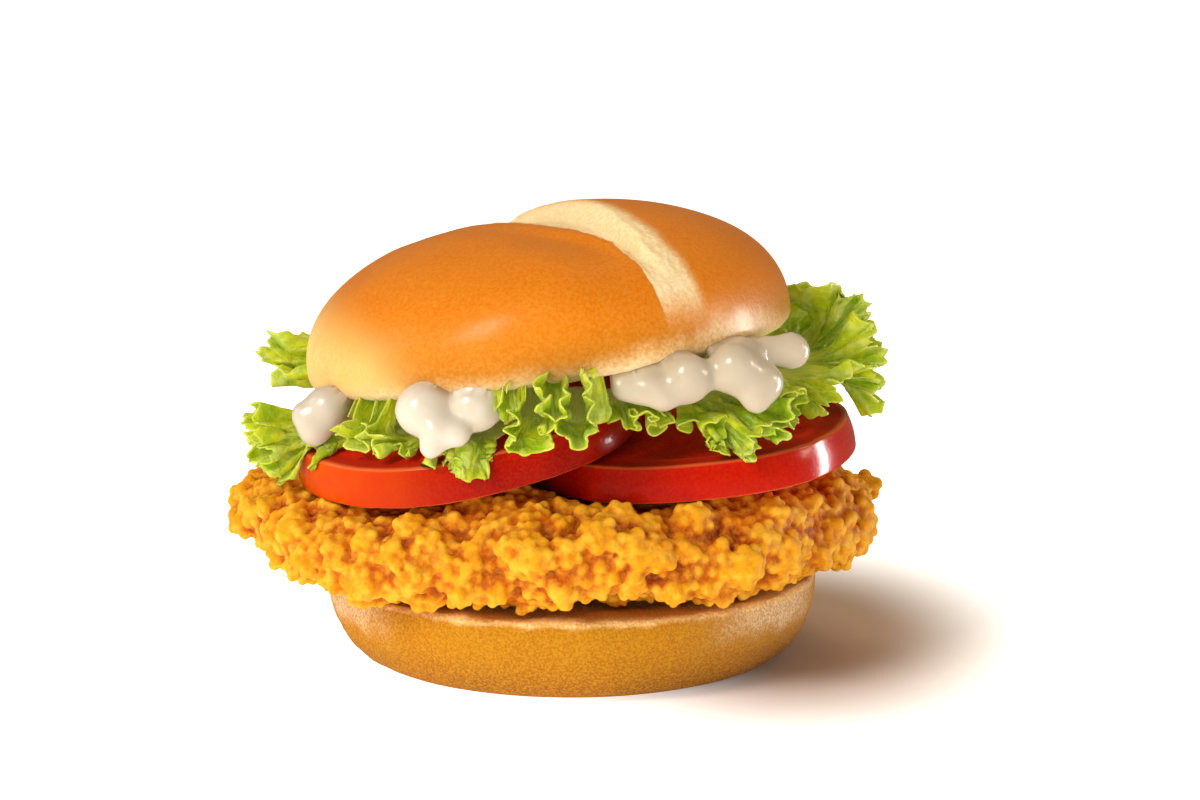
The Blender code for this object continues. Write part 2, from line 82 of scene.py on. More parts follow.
# %% Place the lights
LIGHTS = {
    # name: (place, target, width, height, power in watts, colour)
    "key": ((-0.54, -0.60, 0.58), (0, 0, 0.05), 0.34, 0.34, 5.9, (1.0, 0.94, 0.84)),
    "front": ((-0.12, -0.80, 0.09), (0, 0, 0.03), 0.40, 0.14, 1.0, (1.0, 0.88, 0.68)),
    "above": ((0.05, 0.35, 0.75), (0, 0, 0.06), 0.50, 0.40, 1.9, (1.0, 0.80, 0.52)),
    "left_side": ((-0.70, 0.00, 0.36), (0, 0, 0.06), 0.28, 0.28, 0.85, (1.0, 0.84, 0.60)),
    "right_side": ((0.70, -0.05, 0.32), (0, 0, 0.06), 0.16, 0.16, 1.1, (1.0, 0.84, 0.62)),
    "strip": ((0.30, 0.04, 0.04), (0.05, -0.02, 0.04), 0.05, 0.17, 1.1, (1.0, 1.0, 1.0)),
}
NOT_REFLECTED = ("above", "front")
ONLY_REFLECTED = ("strip",)
WORLD_COLOUR = (1.0, 0.84, 0.64, 1.0)
WORLD_STRENGTH = 0.20

for light_name, (place, target, width, height, power, colour) in LIGHTS.items():
    light = bpy.data.objects.new(light_name, bpy.data.lights.new(light_name, "AREA"))
    light.data.shape = "RECTANGLE"
    light.data.size = width
    light.data.size_y = height
    light.data.energy = power
    light.data.color = colour
    light.location = place
    light.rotation_euler = (Vector(target) - Vector(place)).to_track_quat("-Z", "Y").to_euler()
    light.visible_glossy = light_name not in NOT_REFLECTED
    light.visible_diffuse = light_name not in ONLY_REFLECTED
    bpy.context.scene.collection.objects.link(light)

world = bpy.data.worlds.new("studio")
world.use_nodes = True
world.node_tree.nodes["Background"].inputs["Color"].default_value = WORLD_COLOUR
world.node_tree.nodes["Background"].inputs["Strength"].default_value = WORLD_STRENGTH
bpy.context.scene.world = world
bpy.context.scene.view_settings.view_transform = "Standard"
print("lights:", ", ".join(LIGHTS))

# %% [markdown]
# ## Helpers for materials
# A procedural material is a sum of patterns, and sums read best as Python expressions. One small class
# wraps a socket so that masks can be added, multiplied and subtracted. The other makes the nodes, and it
# takes a colour the way a picture editor writes it.

# %% Wrap sockets for shader maths
def colour_of(code):
    """A picture editor's colour, turned to the linear values that shaders use."""
    parts = [int(code[index:index + 2], 16) / 255 for index in (0, 2, 4)]
    linear = [part / 12.92 if part <= 0.04045 else ((part + 0.055) / 1.055) ** 2.4 for part in parts]
    return (*linear, 1.0)


class Term:
    """One output of a material's nodes. Sums of terms and numbers become Math nodes."""

    def __init__(self, paint, socket):
        self.paint = paint
        self.socket = socket

    def math(self, operation, first, second):
        return self.paint.node("ShaderNodeMath", {"operation": operation}, {0: first, 1: second})

    def __add__(self, other):
        return self.math("ADD", self, other)

    def __radd__(self, other):
        return self.math("ADD", other, self)

    def __rsub__(self, other):
        return self.math("SUBTRACT", other, self)

    def __mul__(self, other):
        return self.math("MULTIPLY", self, other)


class Paint:
    """A material with a Principled shader, and the nodes that feed it."""

    def __init__(self, name, **inputs):
        self.material = bpy.data.materials.new(name)
        self.material.use_nodes = True
        self.tree = self.material.node_tree
        self.shader = self.tree.nodes["Principled BSDF"]
        self.set(**inputs)

    def set(self, **inputs):
        for name, value in inputs.items():
            self.feed(self.shader.inputs[name.replace("_", " ")], value)

    def feed(self, socket, value):
        if isinstance(value, Term):
            self.tree.links.new(value.socket, socket)
        else:
            socket.default_value = colour_of(value) if isinstance(value, str) else value

    def node(self, kind, settings=None, values=None, out=0):
        made = self.tree.nodes.new(kind)
        for name, value in (settings or {}).items():
            setattr(made, name, value)
        for name, value in (values or {}).items():
            self.feed(made.inputs[name], value)
        return Term(self, made.outputs[out])

    def place(self):
        return self.node("ShaderNodeTexCoord", out="Object")

    def axis(self, letter):
        return self.node("ShaderNodeSeparateXYZ", None, {0: self.place()}, letter)

    def vector(self, operation, *values, out=0):
        return self.node("ShaderNodeVectorMath", {"operation": operation}, dict(enumerate(values)), out)

    def attribute(self, name):
        return self.node("ShaderNodeAttribute", {"attribute_name": name}, out="Fac")

    def between(self, term, low, high):
        """0 where the term is below low, 1 above high, and a smooth step between."""
        values = {"Value": term, "From Min": low, "From Max": high}
        return self.node("ShaderNodeMapRange", {"interpolation_type": "SMOOTHSTEP"}, values)

    def grain(self, size, detail=2.0, rough=0.5, place=None):
        """Noise whose patches measure about size metres. It runs from about 0.3 to 0.7."""
        values = {"Vector": place or self.place(), "Scale": 1 / size, "Detail": detail, "Roughness": rough}
        return self.node("ShaderNodeTexNoise", None, values)

    def patches(self, size, detail=2.0, rough=0.5, low=0.35, high=0.65, place=None):
        """The same noise as soft patches that run from 0 to 1."""
        return self.between(self.grain(size, detail, rough, place), low, high)

    def veins(self, size, place, low, high):
        """1 on the borders between cells of about size metres, and 0 inside them."""
        values = {"Vector": place, "Scale": 1 / size}
        apart = self.node("ShaderNodeTexVoronoi", {"feature": "DISTANCE_TO_EDGE"}, values, "Distance")
        return 1 - self.between(apart, low, high)

    def mix(self, share, first, second):
        made = self.tree.nodes.new("ShaderNodeMix")
        made.data_type = "RGBA"
        for index, value in ((0, share), (6, first), (7, second)):
            self.feed(made.inputs[index], value)
        return Term(self, made.outputs[2])

    def layers(self, colour, *coats):
        """A colour under some coats, each of them a share and a colour."""
        for share, coat in coats:
            colour = self.mix(share, colour, coat)
        return colour

    def ramp(self, share, *stops):
        """A colour picked by share from stops, each of them a place from 0 to 1 and a colour."""
        made = self.tree.nodes.new("ShaderNodeValToRGB")
        elements = made.color_ramp.elements
        while len(elements) < len(stops):
            elements.new(0.5)
        for element, (place, colour) in zip(elements, stops):
            element.position = place
            element.color = colour_of(colour)
        self.feed(made.inputs[0], share)
        return Term(self, made.outputs[0])

    def bump(self, height, distance, strength):
        values = {"Height": height, "Distance": distance, "Strength": strength}
        self.set(Normal=self.node("ShaderNodeBump", None, values))


# %% [markdown]
# ## The floor
# The ground is white although a shadow lies on it. A lit white floor would turn grey towards the back, so
# this one glows by itself, except in a soft oval where the burger's shadow falls. In that oval its own
# colour is a warm brown, a painted shadow under the real one.

# %% Make the floor
FLOOR_SIZE = 8.0
FLOOR_DROP = 0.00005
FLOOR_COLOUR = (0.9, 0.9, 0.9, 1.0)
# The floor's own colour inside the shadow oval is a painted shadow.
PAINTED_SHADOW_COLOUR = (0.55, 0.43, 0.37, 1.0)
DARK, GLOWING = (0.0, 0.0, 0.0, 1.0), (1.0, 1.0, 1.0, 1.0)
SHADOW_TO_MIDDLE = (-0.045, -0.015, 0.0)
SHADOW_SQUASH = (1.0, 0.6, 0.0)
SHADOW_REACH = (0.018, 0.064)

bpy.ops.mesh.primitive_plane_add(size=FLOOR_SIZE, location=(0, 0, -FLOOR_DROP))
floor = bpy.context.object
floor.name = "floor"
floor_paint = Paint("floor_white", Roughness=0.7, Emission_Strength=1.0)
apart = floor_paint.vector("ADD", floor_paint.place(), SHADOW_TO_MIDDLE)
apart = floor_paint.vector("MULTIPLY", apart, SHADOW_SQUASH)
open_floor = floor_paint.between(floor_paint.vector("LENGTH", apart, out="Value"), *SHADOW_REACH)
floor_paint.set(
    Base_Color=floor_paint.mix(open_floor, PAINTED_SHADOW_COLOUR, FLOOR_COLOUR),
    Emission_Color=floor_paint.mix(open_floor, DARK, GLOWING),
)
floor.data.materials.append(floor_paint.material)
floor.visible_glossy = False
print("floor laid:", FLOOR_SIZE, "m across")

# %% [markdown]
# ## Helpers for meshes
# Every piece ends in the same way: a mesh at the origin with its place in its points, a material, smooth
# shading, and the solids that it stands for hidden. Soft pieces are also pressed clear of their neighbours,
# by asking the nearest surface which way is out.

# %% Build meshes and measure them
JOIN_DISTANCE = 0.000001


def triangles_in(mesh):
    return sum(len(face.vertices) - 2 for face in mesh.polygons)


def new_piece(name, mesh, material, slot, *nodes):
    """Adds a finished mesh as a piece that stands for some solids, and as a neighbour of later pieces."""
    mesh.name = name
    mesh.materials.clear()
    mesh.materials.append(material)
    mesh.shade_smooth()
    piece = bpy.data.objects.new(name, mesh)
    bpy.context.scene.collection.objects.link(piece)
    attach(piece, "root")
    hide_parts(*nodes)
    around.trees.append(tree_of(mesh))
    print(f"{name}: {triangles_in(mesh)} triangles")
    return piece


def mesh_from(points, faces):
    mesh = bpy.data.meshes.new("rough")
    mesh.from_pydata([tuple(point) for point in points], [], [tuple(face) for face in faces])
    mesh.update()
    return mesh


def solid_copy(node):
    """A copy of a solid's mesh, with its loose triangles joined."""
    bm = bmesh.new()
    bm.from_mesh(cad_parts[node].data)
    bmesh.ops.remove_doubles(bm, verts=bm.verts[:], dist=JOIN_DISTANCE)
    mesh = bpy.data.meshes.new(node + "_copy")
    bm.to_mesh(mesh)
    bm.free()
    return mesh


def vectors_from(items, field):
    values = np.empty(len(items) * 3, np.float32)
    items.foreach_get(field, values)
    return values.reshape(-1, 3).astype(float)


def points_of(mesh):
    return vectors_from(mesh.vertices, "co")


def normals_of(mesh):
    return vectors_from(mesh.vertex_normals, "vector")


def set_points(mesh, points):
    mesh.vertices.foreach_set("co", np.asarray(points, np.float32).ravel())
    mesh.update()


def set_attribute(mesh, name, values):
    layer = mesh.attributes.new(name, "FLOAT", "POINT")
    layer.data.foreach_set("value", np.asarray(values, np.float32))


def with_modifiers(mesh, *steps):
    """The mesh after some modifiers: each step is a type and its settings, or a node group's inputs."""
    carrier = bpy.data.objects.new("carrier", mesh)
    bpy.context.scene.collection.objects.link(carrier)
    for kind, settings in steps:
        modifier = carrier.modifiers.new(kind.lower(), kind)
        for name, value in settings.items():
            if name.startswith("Socket"):
                modifier[name] = value
            else:
                setattr(modifier, name, value)
    bpy.context.view_layer.update()
    evaluated = carrier.evaluated_get(bpy.context.evaluated_depsgraph_get())
    result = bpy.data.meshes.new_from_object(evaluated)
    bpy.data.objects.remove(carrier)
    return result


def smoothstep(low, high, value):
    share = np.clip((value - low) / (high - low), 0.0, 1.0)
    return share * share * (3 - 2 * share)


# %% [markdown]
# Relief needs a noise that can be read at thousands of points at once. Mathutils' own noise takes one point
# at a time, so this one blends random slopes at the corners of a lattice with array maths.

# %% Make a field of smooth noise
HASH_FACTORS = (73856093, 19349663, 83492791)
HASH_MIX = 1274126177
HASH_BITS = 0xFFFFFFFF
SLOPE_BITS = 1023
SEED_STEP = 17.37
FIELD_GAIN = 1.4


def ripple_field(points, size, seed):
    """Smooth noise from about -1 to 1 at each point, with patches of about size metres.

    Every corner of a lattice gets a random slope from a hash of its place, and the slopes are blended."""
    place = np.asarray(points, float) / size + seed * SEED_STEP
    cell = np.floor(place).astype(np.int64)
    inside = place - cell
    ease = inside ** 3 * (inside * (inside * 6 - 15) + 10)
    total = np.zeros(len(place))
    for corner in np.ndindex(2, 2, 2):
        key = (cell + corner) * HASH_FACTORS
        key = (key[:, 0] ^ key[:, 1] ^ key[:, 2]) & HASH_BITS
        key = ((key ^ (key >> 15)) * HASH_MIX) & HASH_BITS
        key ^= key >> 13
        slopes = np.stack([(key >> shift) & SLOPE_BITS for shift in (0, 10, 20)], 1) / (SLOPE_BITS / 2) - 1
        share = np.prod(np.where(corner, ease, 1 - ease), axis=1)
        total += share * np.sum(slopes * (inside - corner), axis=1)
    return total * FIELD_GAIN


def ripples(points, layers, seed):
    """The sum of some layers of smooth noise, each with a size and a height in metres."""
    return sum(height * ripple_field(points, size, seed + row) for row, (size, height) in enumerate(layers))


# %% Keep soft pieces clear of their neighbours
INSIDE_LOOK = -0.5


def tree_of(mesh):
    """The mesh as a tree, in which the nearest surface is found quickly."""
    corners = [vertex.co.copy() for vertex in mesh.vertices]
    return BVHTree.FromPolygons(corners, [tuple(face.vertices) for face in mesh.polygons])


class Neighbours:
    """The surfaces that a soft piece has to stay clear of."""

    def __init__(self):
        self.trees = []

    def push(self, point, clearance, reach):
        """The point moved clear of every surface, looking no further than reach."""
        moved = Vector(point)
        for tree in self.trees:
            spot, normal, _, distance = tree.find_nearest(moved, reach)
            if spot is None:
                continue
            away = moved - spot
            if away.dot(normal) < INSIDE_LOOK * distance:
                moved = spot + normal * clearance
            elif distance < clearance:
                way = away.normalized() if distance > clearance / 4 else normal
                moved = spot + way * clearance
        return moved

    def clear(self, points, clearance, reach):
        return np.array([self.push(point, clearance, reach) for point in points])


around = Neighbours()

# %% [markdown]
# ## The bottom bun
# The real one is a soft roll cut in two: a browned, sandy-grained side that rolls under to a flat base, and
# a cut face whose rim shows as a pale, crumbly band. A Screw modifier could turn its section, but the grain
# needs its own relief at every point, so the rings are laid by a formula and then roughened by noise.

# %% Turn the bottom bun
HEEL_BASE_RADIUS = 0.0378
HEEL_RIM_RADIUS = 0.0500
HEEL_HEIGHT = 0.0177
HEEL_EDGE_ROUND = 0.0014
HEEL_TOP_DISH = 0.0012
HEEL_STEPS = 560
HEEL_TOP_RINGS = 26
HEEL_TOP_CROWDING = 0.7
HEEL_EDGE_RINGS = 8
HEEL_SIDE_RINGS = 46
HEEL_BASE_RINGS = 10
HEEL_GRAIN = ((0.0011, 0.00016), (0.0032, 0.00018), (0.014, 0.00045))
HEEL_GRAIN_LIMIT = 0.0002
HEEL_SMOOTH_FOOT = 0.0024


def arc(middle, width, height, turns):
    """Points of an ellipse round a middle, at some turns in degrees, as radius and height."""
    turns = np.radians(turns)
    return [(middle[0] + width * math.cos(turn), middle[1] + height * math.sin(turn)) for turn in turns]


def heel_profile():
    """Radius and height from the middle of the cut face, over the rim and down the side, to the base."""
    side_top = HEEL_HEIGHT - HEEL_EDGE_ROUND
    inner = HEEL_RIM_RADIUS - HEEL_EDGE_ROUND
    bulge = HEEL_RIM_RADIUS - HEEL_BASE_RADIUS
    shares = [(ring / HEEL_TOP_RINGS) ** HEEL_TOP_CROWDING for ring in range(1, HEEL_TOP_RINGS)]
    top = [(inner * share, HEEL_HEIGHT - HEEL_TOP_DISH * (1 - share)) for share in shares]
    edge = arc((inner, side_top), HEEL_EDGE_ROUND, HEEL_EDGE_ROUND, np.linspace(90, 0, HEEL_EDGE_RINGS + 1))
    side = arc((HEEL_BASE_RADIUS, side_top), bulge, -side_top, np.linspace(0, 90, HEEL_SIDE_RINGS + 1)[1:])
    base = [(HEEL_BASE_RADIUS * (1 - ring / HEEL_BASE_RINGS), 0.0) for ring in range(1, HEEL_BASE_RINGS)]
    return top + edge + side + base


def turned_mesh(profile, steps, top, bottom):
    """A closed mesh from rings round the Z axis, with one point at each end."""
    points = [(0, 0, top)]
    for radius, height in profile:
        for step in range(steps):
            turn = 2 * math.pi * step / steps
            points.append((radius * math.cos(turn), radius * math.sin(turn), height))
    points.append((0, 0, bottom))
    last = len(points) - 1
    faces = []
    for step in range(steps):
        after = (step + 1) % steps
        faces.append((0, 1 + step, 1 + after))
        for ring in range(len(profile) - 1):
            first = 1 + ring * steps
            faces.append((first + step, first + steps + step, first + steps + after, first + after))
        first = 1 + (len(profile) - 1) * steps
        faces.append((first + after, first + step, last))
    return mesh_from(points, faces)


heel_mesh = turned_mesh(heel_profile(), HEEL_STEPS, HEEL_HEIGHT - HEEL_TOP_DISH, 0.0)
heel_points = points_of(heel_mesh)
lift = ripples(heel_points, HEEL_GRAIN, 0) * smoothstep(0.0, HEEL_SMOOTH_FOOT, heel_points[:, 2])
heel_points += normals_of(heel_mesh) * np.minimum(lift, HEEL_GRAIN_LIMIT)[:, None]
heel_points[:, 2] = np.maximum(heel_points[:, 2], 0.0)
set_points(heel_mesh, heel_points)

# %% [markdown]
# Its colour runs from a pale cream rim to golden tan and a browner foot. Flour dusts the rim in a few
# patches. The crumb's sandy look is fine, so it comes from noise in the colour and the bump as well as from
# the relief.

# %% Paint the bottom bun
RIM_BAND = 0.0010
RIM_WAVER, RIM_WAVER_SIZE, RIM_BLUR = 0.0005, 0.004, 0.0005
# Each patch of flour: the direction of its middle and its half width, in degrees anticlockwise from +X.
FLOUR_PATCHES = ((200, 30), (325, 26), (80, 40))
FLOUR_REACH, FLOUR_WAVER, FLOUR_WAVER_SIZE = 0.006, 0.003, 0.006
FLOUR_BLUR = (0.003, 0.002)


def rim_share(points):
    """1 on the pale band below the rim and on the cut face, with an uneven lower edge."""
    edge = HEEL_HEIGHT - RIM_BAND + RIM_WAVER * ripple_field(points, RIM_WAVER_SIZE, 5)
    return smoothstep(edge - RIM_BLUR, edge + RIM_BLUR, points[:, 2])


def flour_share(points):
    """1 where flour dusts the side, in patches that hang down from the rim."""
    turn = np.degrees(np.arctan2(points[:, 1], points[:, 0])) % 360
    dust = np.zeros(len(points))
    for middle, width in FLOUR_PATCHES:
        apart = np.abs((turn - middle + 180) % 360 - 180)
        dust = np.maximum(dust, 1 - smoothstep(0.2, 1.0, apart / width))
    edge = HEEL_HEIGHT - FLOUR_REACH - FLOUR_WAVER * ripple_field(points, FLOUR_WAVER_SIZE, 8)
    return dust * smoothstep(edge - FLOUR_BLUR[0], edge + FLOUR_BLUR[1], points[:, 2])


set_attribute(heel_mesh, "rim", rim_share(heel_points))
set_attribute(heel_mesh, "flour", flour_share(heel_points))

heel_paint = Paint(
    "heel_crust", Roughness=0.75, Subsurface_Weight=0.08, Subsurface_Scale=0.002, Specular_IOR_Level=0.2,
)
speck = heel_paint.patches(0.0005, low=0.36, high=0.66)
heel_paint.set(Base_Color=heel_paint.layers(
    "8a4e06",
    (heel_paint.between(heel_paint.axis("Z"), 0.0, 0.0125), "b87804"),
    (heel_paint.patches(0.012) * 0.30, "ac640a"),
    (speck * 0.45, "dca424"),
    (heel_paint.attribute("flour") * (0.25 + speck * 0.5), "f2dcb8"),
    (heel_paint.attribute("rim"), heel_paint.mix(speck * 0.7, "ecb860", "ffe6b4")),
))
heel_paint.bump(heel_paint.grain(0.0006, 3.0, 0.65), 0.0005, 0.9)
new_piece("bottom_bun", heel_mesh, heel_paint.material, "bread", "bun_heel")

# %% [markdown]
# ## The top bun
# The dough was slashed before baking, so the dome opened along one line: the left lobe ends in a lip over a
# pale, torn channel, and the right one slopes up gently. A sphere whose poles lie at the two ends of the
# split has its lines along the split, which puts the points where the tear needs them.

# %% Model the top bun
CROWN_CENTRE = Vector((-0.0046, 0.0, 0.0646))
CROWN_TURN = Euler((math.radians(-2.5), math.radians(-8.3), 0)).to_matrix()
CROWN_RADIUS = 0.0495
CROWN_DOME_HEIGHT = 0.0275
CROWN_BASE_DROP = 0.0036
CROWN_EDGE_TURN = 3.5
CROWN_LINES = 420
CROWN_RINGS = 200
CROWN_LINE_CROWDING = 0.55
SPLIT_ANGLE = math.radians(-58.4)
SPLIT_DEPTH = 0.0040
SPLIT_WIDTH = 0.0115
SPLIT_END_WIDTH = 0.0030
SPLIT_BAND_END = 0.0078
SPLIT_NARROWING = (-0.1, 0.85)
SPLIT_WALL = (-0.5, -0.1)
SPLIT_SLOPE = (0.35, 1.0)
SPLIT_FADE = (0.62, 0.98)
SPLIT_LIP = 0.0011
SPLIT_LIP_PLACE = -0.75
SPLIT_LIP_WIDTH = 0.45
SPLIT_LIP_FADE = (0.5, 0.9)
LEFT_LOBE_DROP = 0.0032
LEFT_LOBE_FADE = (0.3, 1.0)
DOME_FULLNESS = 0.85
LEFT_SWELL = 0.0019
LEFT_SWELL_SPAN = (0.005, 0.020)
# Where the tear starts and ends across the split, in its widths, and along it, in the crown's radii.
TEAR_START, TEAR_END, TEAR_FADE = (-0.66, -0.56), (0.72, 1.20), (0.94, 1.02)
SPLIT_WAVER = ((0.0045, 0.0007), (0.0015, 0.0003))
CUT_RISE, TEAR_RISE = (0.0, 0.35), (0.02, 0.2)
TORN_RELIEF = ((0.0042, 0.00030), (0.0013, 0.00022))
UNDERSIDE_RELIEF = 0.6
DOME_WAVES = (0.018, 0.00035)


def split_shares(along, across):
    """How far down the split lowers the dome, and how much of the split's pale tear is there."""
    reach = np.abs(along) / CROWN_RADIUS
    front = smoothstep(*SPLIT_NARROWING, along / CROWN_RADIUS)
    width = SPLIT_WIDTH + (SPLIT_END_WIDTH - SPLIT_WIDTH) * front
    place = across / width
    wall = smoothstep(*SPLIT_WALL, place)
    slope = 1 - smoothstep(*SPLIT_SLOPE, place)
    lip = SPLIT_LIP * np.exp(-(((place - SPLIT_LIP_PLACE) / SPLIT_LIP_WIDTH) ** 2))
    lip *= 1 - smoothstep(*SPLIT_LIP_FADE, reach)
    lobe = LEFT_LOBE_DROP * (1 - wall) * (1 - smoothstep(*LEFT_LOBE_FADE, reach))
    depth = SPLIT_DEPTH * (1 - smoothstep(*SPLIT_FADE, reach))
    band = across / (SPLIT_WIDTH + (SPLIT_BAND_END - SPLIT_WIDTH) * front)
    tear = smoothstep(*TEAR_START, place) * (1 - smoothstep(*TEAR_END, band))
    return depth * wall * slope + lobe - lip, tear * (1 - smoothstep(*TEAR_FADE, reach))


def crown_shape():
    """The dome's mesh, its points, the tear's share and the place along the split at each of them."""
    turns = [math.pi * ring / CROWN_RINGS for ring in range(1, CROWN_RINGS)]
    mesh = turned_mesh([(math.sin(turn), math.cos(turn)) for turn in turns], CROWN_LINES, 1.0, -1.0)
    ball = points_of(mesh)
    ring = np.hypot(ball[:, 0], ball[:, 1])
    turn = np.arctan2(ball[:, 1], ball[:, 0])
    turn -= CROWN_LINE_CROWDING * np.sin(turn)
    along = ball[:, 2] * CROWN_RADIUS
    across = ring * np.sin(turn) * CROWN_RADIUS
    up = ring * np.cos(turn)
    waver = ripples(np.stack((along, 0 * along, 0 * along), 1), SPLIT_WAVER, 3)
    cut, tear = split_shares(along, across + waver)
    dome = np.maximum(up, 0.0) ** DOME_FULLNESS
    swell = LEFT_SWELL * smoothstep(*LEFT_SWELL_SPAN, -across)
    top = CROWN_DOME_HEIGHT * dome + (swell - cut) * smoothstep(*CUT_RISE, up)
    below = np.minimum(math.pi / 2, CROWN_EDGE_TURN * np.arcsin(np.clip(-up, 0, 1)))
    height = np.where(up >= 0, top, -CROWN_BASE_DROP * np.sin(below))
    cosine, sine = math.cos(SPLIT_ANGLE), math.sin(SPLIT_ANGLE)
    points = np.stack((along * cosine - across * sine, along * sine + across * cosine, height), 1)
    set_points(mesh, points)
    return mesh, points, tear * smoothstep(*TEAR_RISE, up), along


crown_mesh, crown_points, tear, along_split = crown_shape()
torn = tear * (0.5 + 0.5 * smoothstep(0.1, 0.5, along_split / CROWN_RADIUS))
face = smoothstep(0.0, -0.0035, crown_points[:, 2])
relief = ripples(crown_points, TORN_RELIEF, 11) * np.maximum(torn, UNDERSIDE_RELIEF * face)
relief += ripples(crown_points, (DOME_WAVES,), 13) * (1 - face) * (1 - tear)
crown_points = crown_points + normals_of(crown_mesh) * relief[:, None]
set_points(crown_mesh, crown_points @ np.array(CROWN_TURN).T + np.array(CROWN_CENTRE))

# %% [markdown]
# The oven browned the dome from the top down and left its rolled-in lower edge and the torn channel pale.
# An egg wash makes it shine softly. Towards the left, where the side lights fall, the lower dome is painted
# pale gold and the brown starts higher: a painted light. The pale shares were worked out with the shape, so
# the material only reads them.

# %% Paint the top bun
PALE_HEIGHT, PALE_BLUR = -0.0012, 0.0030
# Beside the split's front end the pale edge climbs: its direction and width in degrees, and how far.
PALE_SIDE, PALE_SIDE_WIDTH, PALE_SIDE_RISE = -43, 21, 0.0036
PALE_WAVER, PALE_FRAY, PALE_SIDE_FRAY = 0.0012, 0.0004, 0.0012
TOAST_START = -0.005
TOAST_SPAN = 0.015
# Painted light: towards the left the brown starts higher and the low colour turns pale gold.
PAINTED_LIGHT_LEFT, PAINTED_LIGHT_LEFT_END = -0.018, -0.048
PAINTED_LIGHT_RISE = 0.011

turn = np.degrees(np.arctan2(crown_points[:, 1], crown_points[:, 0]))
by_split = np.exp(-(((turn - PALE_SIDE) / PALE_SIDE_WIDTH) ** 2))
fray = PALE_FRAY + PALE_SIDE_FRAY * by_split
pale_edge = PALE_HEIGHT + PALE_SIDE_RISE * by_split
pale_edge += PALE_WAVER * ripple_field(crown_points * (1, 1, 0.25), 0.010, 21)
pale_edge += fray * ripple_field(crown_points * (1, 1, 0.1), 0.0020, 22)
pale_share = 1 - smoothstep(pale_edge - PALE_BLUR, pale_edge + PALE_BLUR, crown_points[:, 2])
painted_light_left = smoothstep(PAINTED_LIGHT_LEFT, PAINTED_LIGHT_LEFT_END, crown_points[:, 0])
toast_start = TOAST_START + PAINTED_LIGHT_RISE * painted_light_left
set_attribute(crown_mesh, "pale", np.maximum(pale_share, tear))
set_attribute(crown_mesh, "tear", np.maximum(tear, face))
set_attribute(crown_mesh, "painted_light_left", painted_light_left)
set_attribute(crown_mesh, "toast", smoothstep(toast_start, toast_start + TOAST_SPAN, crown_points[:, 2]))

crown_paint = Paint(
    "crown_crust", Coat_Roughness=0.26, Subsurface_Weight=0.06, Subsurface_Scale=0.002,
    Specular_IOR_Level=0.22, Specular_Tint=(1.0, 0.72, 0.42, 1.0),
)
speck = crown_paint.patches(0.00075, 3.0, 0.6)
tear_share = crown_paint.attribute("tear")
# The pale gold at the left is painted light.
low = crown_paint.mix(crown_paint.attribute("painted_light_left"), "ae7216", "ffdc90")
pale = crown_paint.mix(speck * 0.8, "e4b46c", "fadcaa")
cream = crown_paint.mix(speck * 0.6, "f2d6a2", "fff2d0")
crown_paint.set(
    Base_Color=crown_paint.layers(
        low,
        (crown_paint.attribute("toast"), "d87608"),
        (crown_paint.patches(0.016, 2.5) * 0.30, "e08410"),
        (speck * 0.30, "eca23c"),
        (crown_paint.attribute("pale"), crown_paint.mix(tear_share, pale, cream)),
    ),
    Roughness=0.42 + tear_share * 0.3,
    Coat_Weight=0.22 - tear_share * 0.20,
)
crown_paint.bump(crown_paint.grain(0.0007, 3.0, 0.6), 0.0003, 0.45)
crown = new_piece("top_bun", crown_mesh, crown_paint.material, "bread", "bun_crown")

# %% [markdown]
# ## The tomato slices
# A slice is a short, slightly tapered drum: glossy skin round its side, wet flesh on its faces, and a thin
# painted highlight where light catches the rim of each face. The same turned mesh as the bun's serves here,
# with a softly lobed outline and shallow seed chambers in its faces.

# %% Model a tomato slice
TOMATO_TAPER = 0.0012
TOMATO_LOBES = 5
TOMATO_LOBE_DEPTH = 0.0004
TOMATO_EDGE = 0.0006
TOMATO_STEPS = 300
TOMATO_FACE_RINGS = 34
TOMATO_SIDE_RINGS = 14
TOMATO_EDGE_RINGS = 5
TOMATO_BULGE = 0.0003
CHAMBERS = 6
CHAMBER_DEPTH = 0.00045
CHAMBER_SIDES, CHAMBER_START, CHAMBER_END = (0.35, 0.65), (0.28, 0.40), (0.68, 0.80)
OUTER_WALL = (0.80, 0.86)
FACE_GRAIN, FACE_GRAIN_SIZE = 0.00012, 0.003
# Where the flesh ends and where the painted highlight on the rim starts, counted inwards from the rim.
FLESH_END, RIM_HIGHLIGHT_BAND = (0.0009, 0.0004), (0.0010, 0.0004)


def slice_profile(radius, thickness):
    """From the middle of the upper face, over its edge, down the side and back along the lower face."""
    top_radius = radius - TOMATO_TAPER
    rings = [ring / TOMATO_FACE_RINGS for ring in range(1, TOMATO_FACE_RINGS)]
    turns = np.linspace(90, 0, TOMATO_EDGE_RINGS + 1)
    upper = [((top_radius - TOMATO_EDGE) * ring, thickness) for ring in rings]
    over = arc((top_radius - TOMATO_EDGE, thickness - TOMATO_EDGE), TOMATO_EDGE, TOMATO_EDGE, turns)
    side = [(
        top_radius + TOMATO_TAPER * share + TOMATO_BULGE * math.sin(math.pi * share),
        thickness - TOMATO_EDGE - share * (thickness - 2 * TOMATO_EDGE),
    ) for share in np.arange(1, TOMATO_SIDE_RINGS) / TOMATO_SIDE_RINGS]
    under = arc((radius - TOMATO_EDGE, TOMATO_EDGE), TOMATO_EDGE, -TOMATO_EDGE, turns[::-1])
    lower = [((radius - TOMATO_EDGE) * (1 - ring), 0.0) for ring in rings]
    return upper + over + side + under + lower


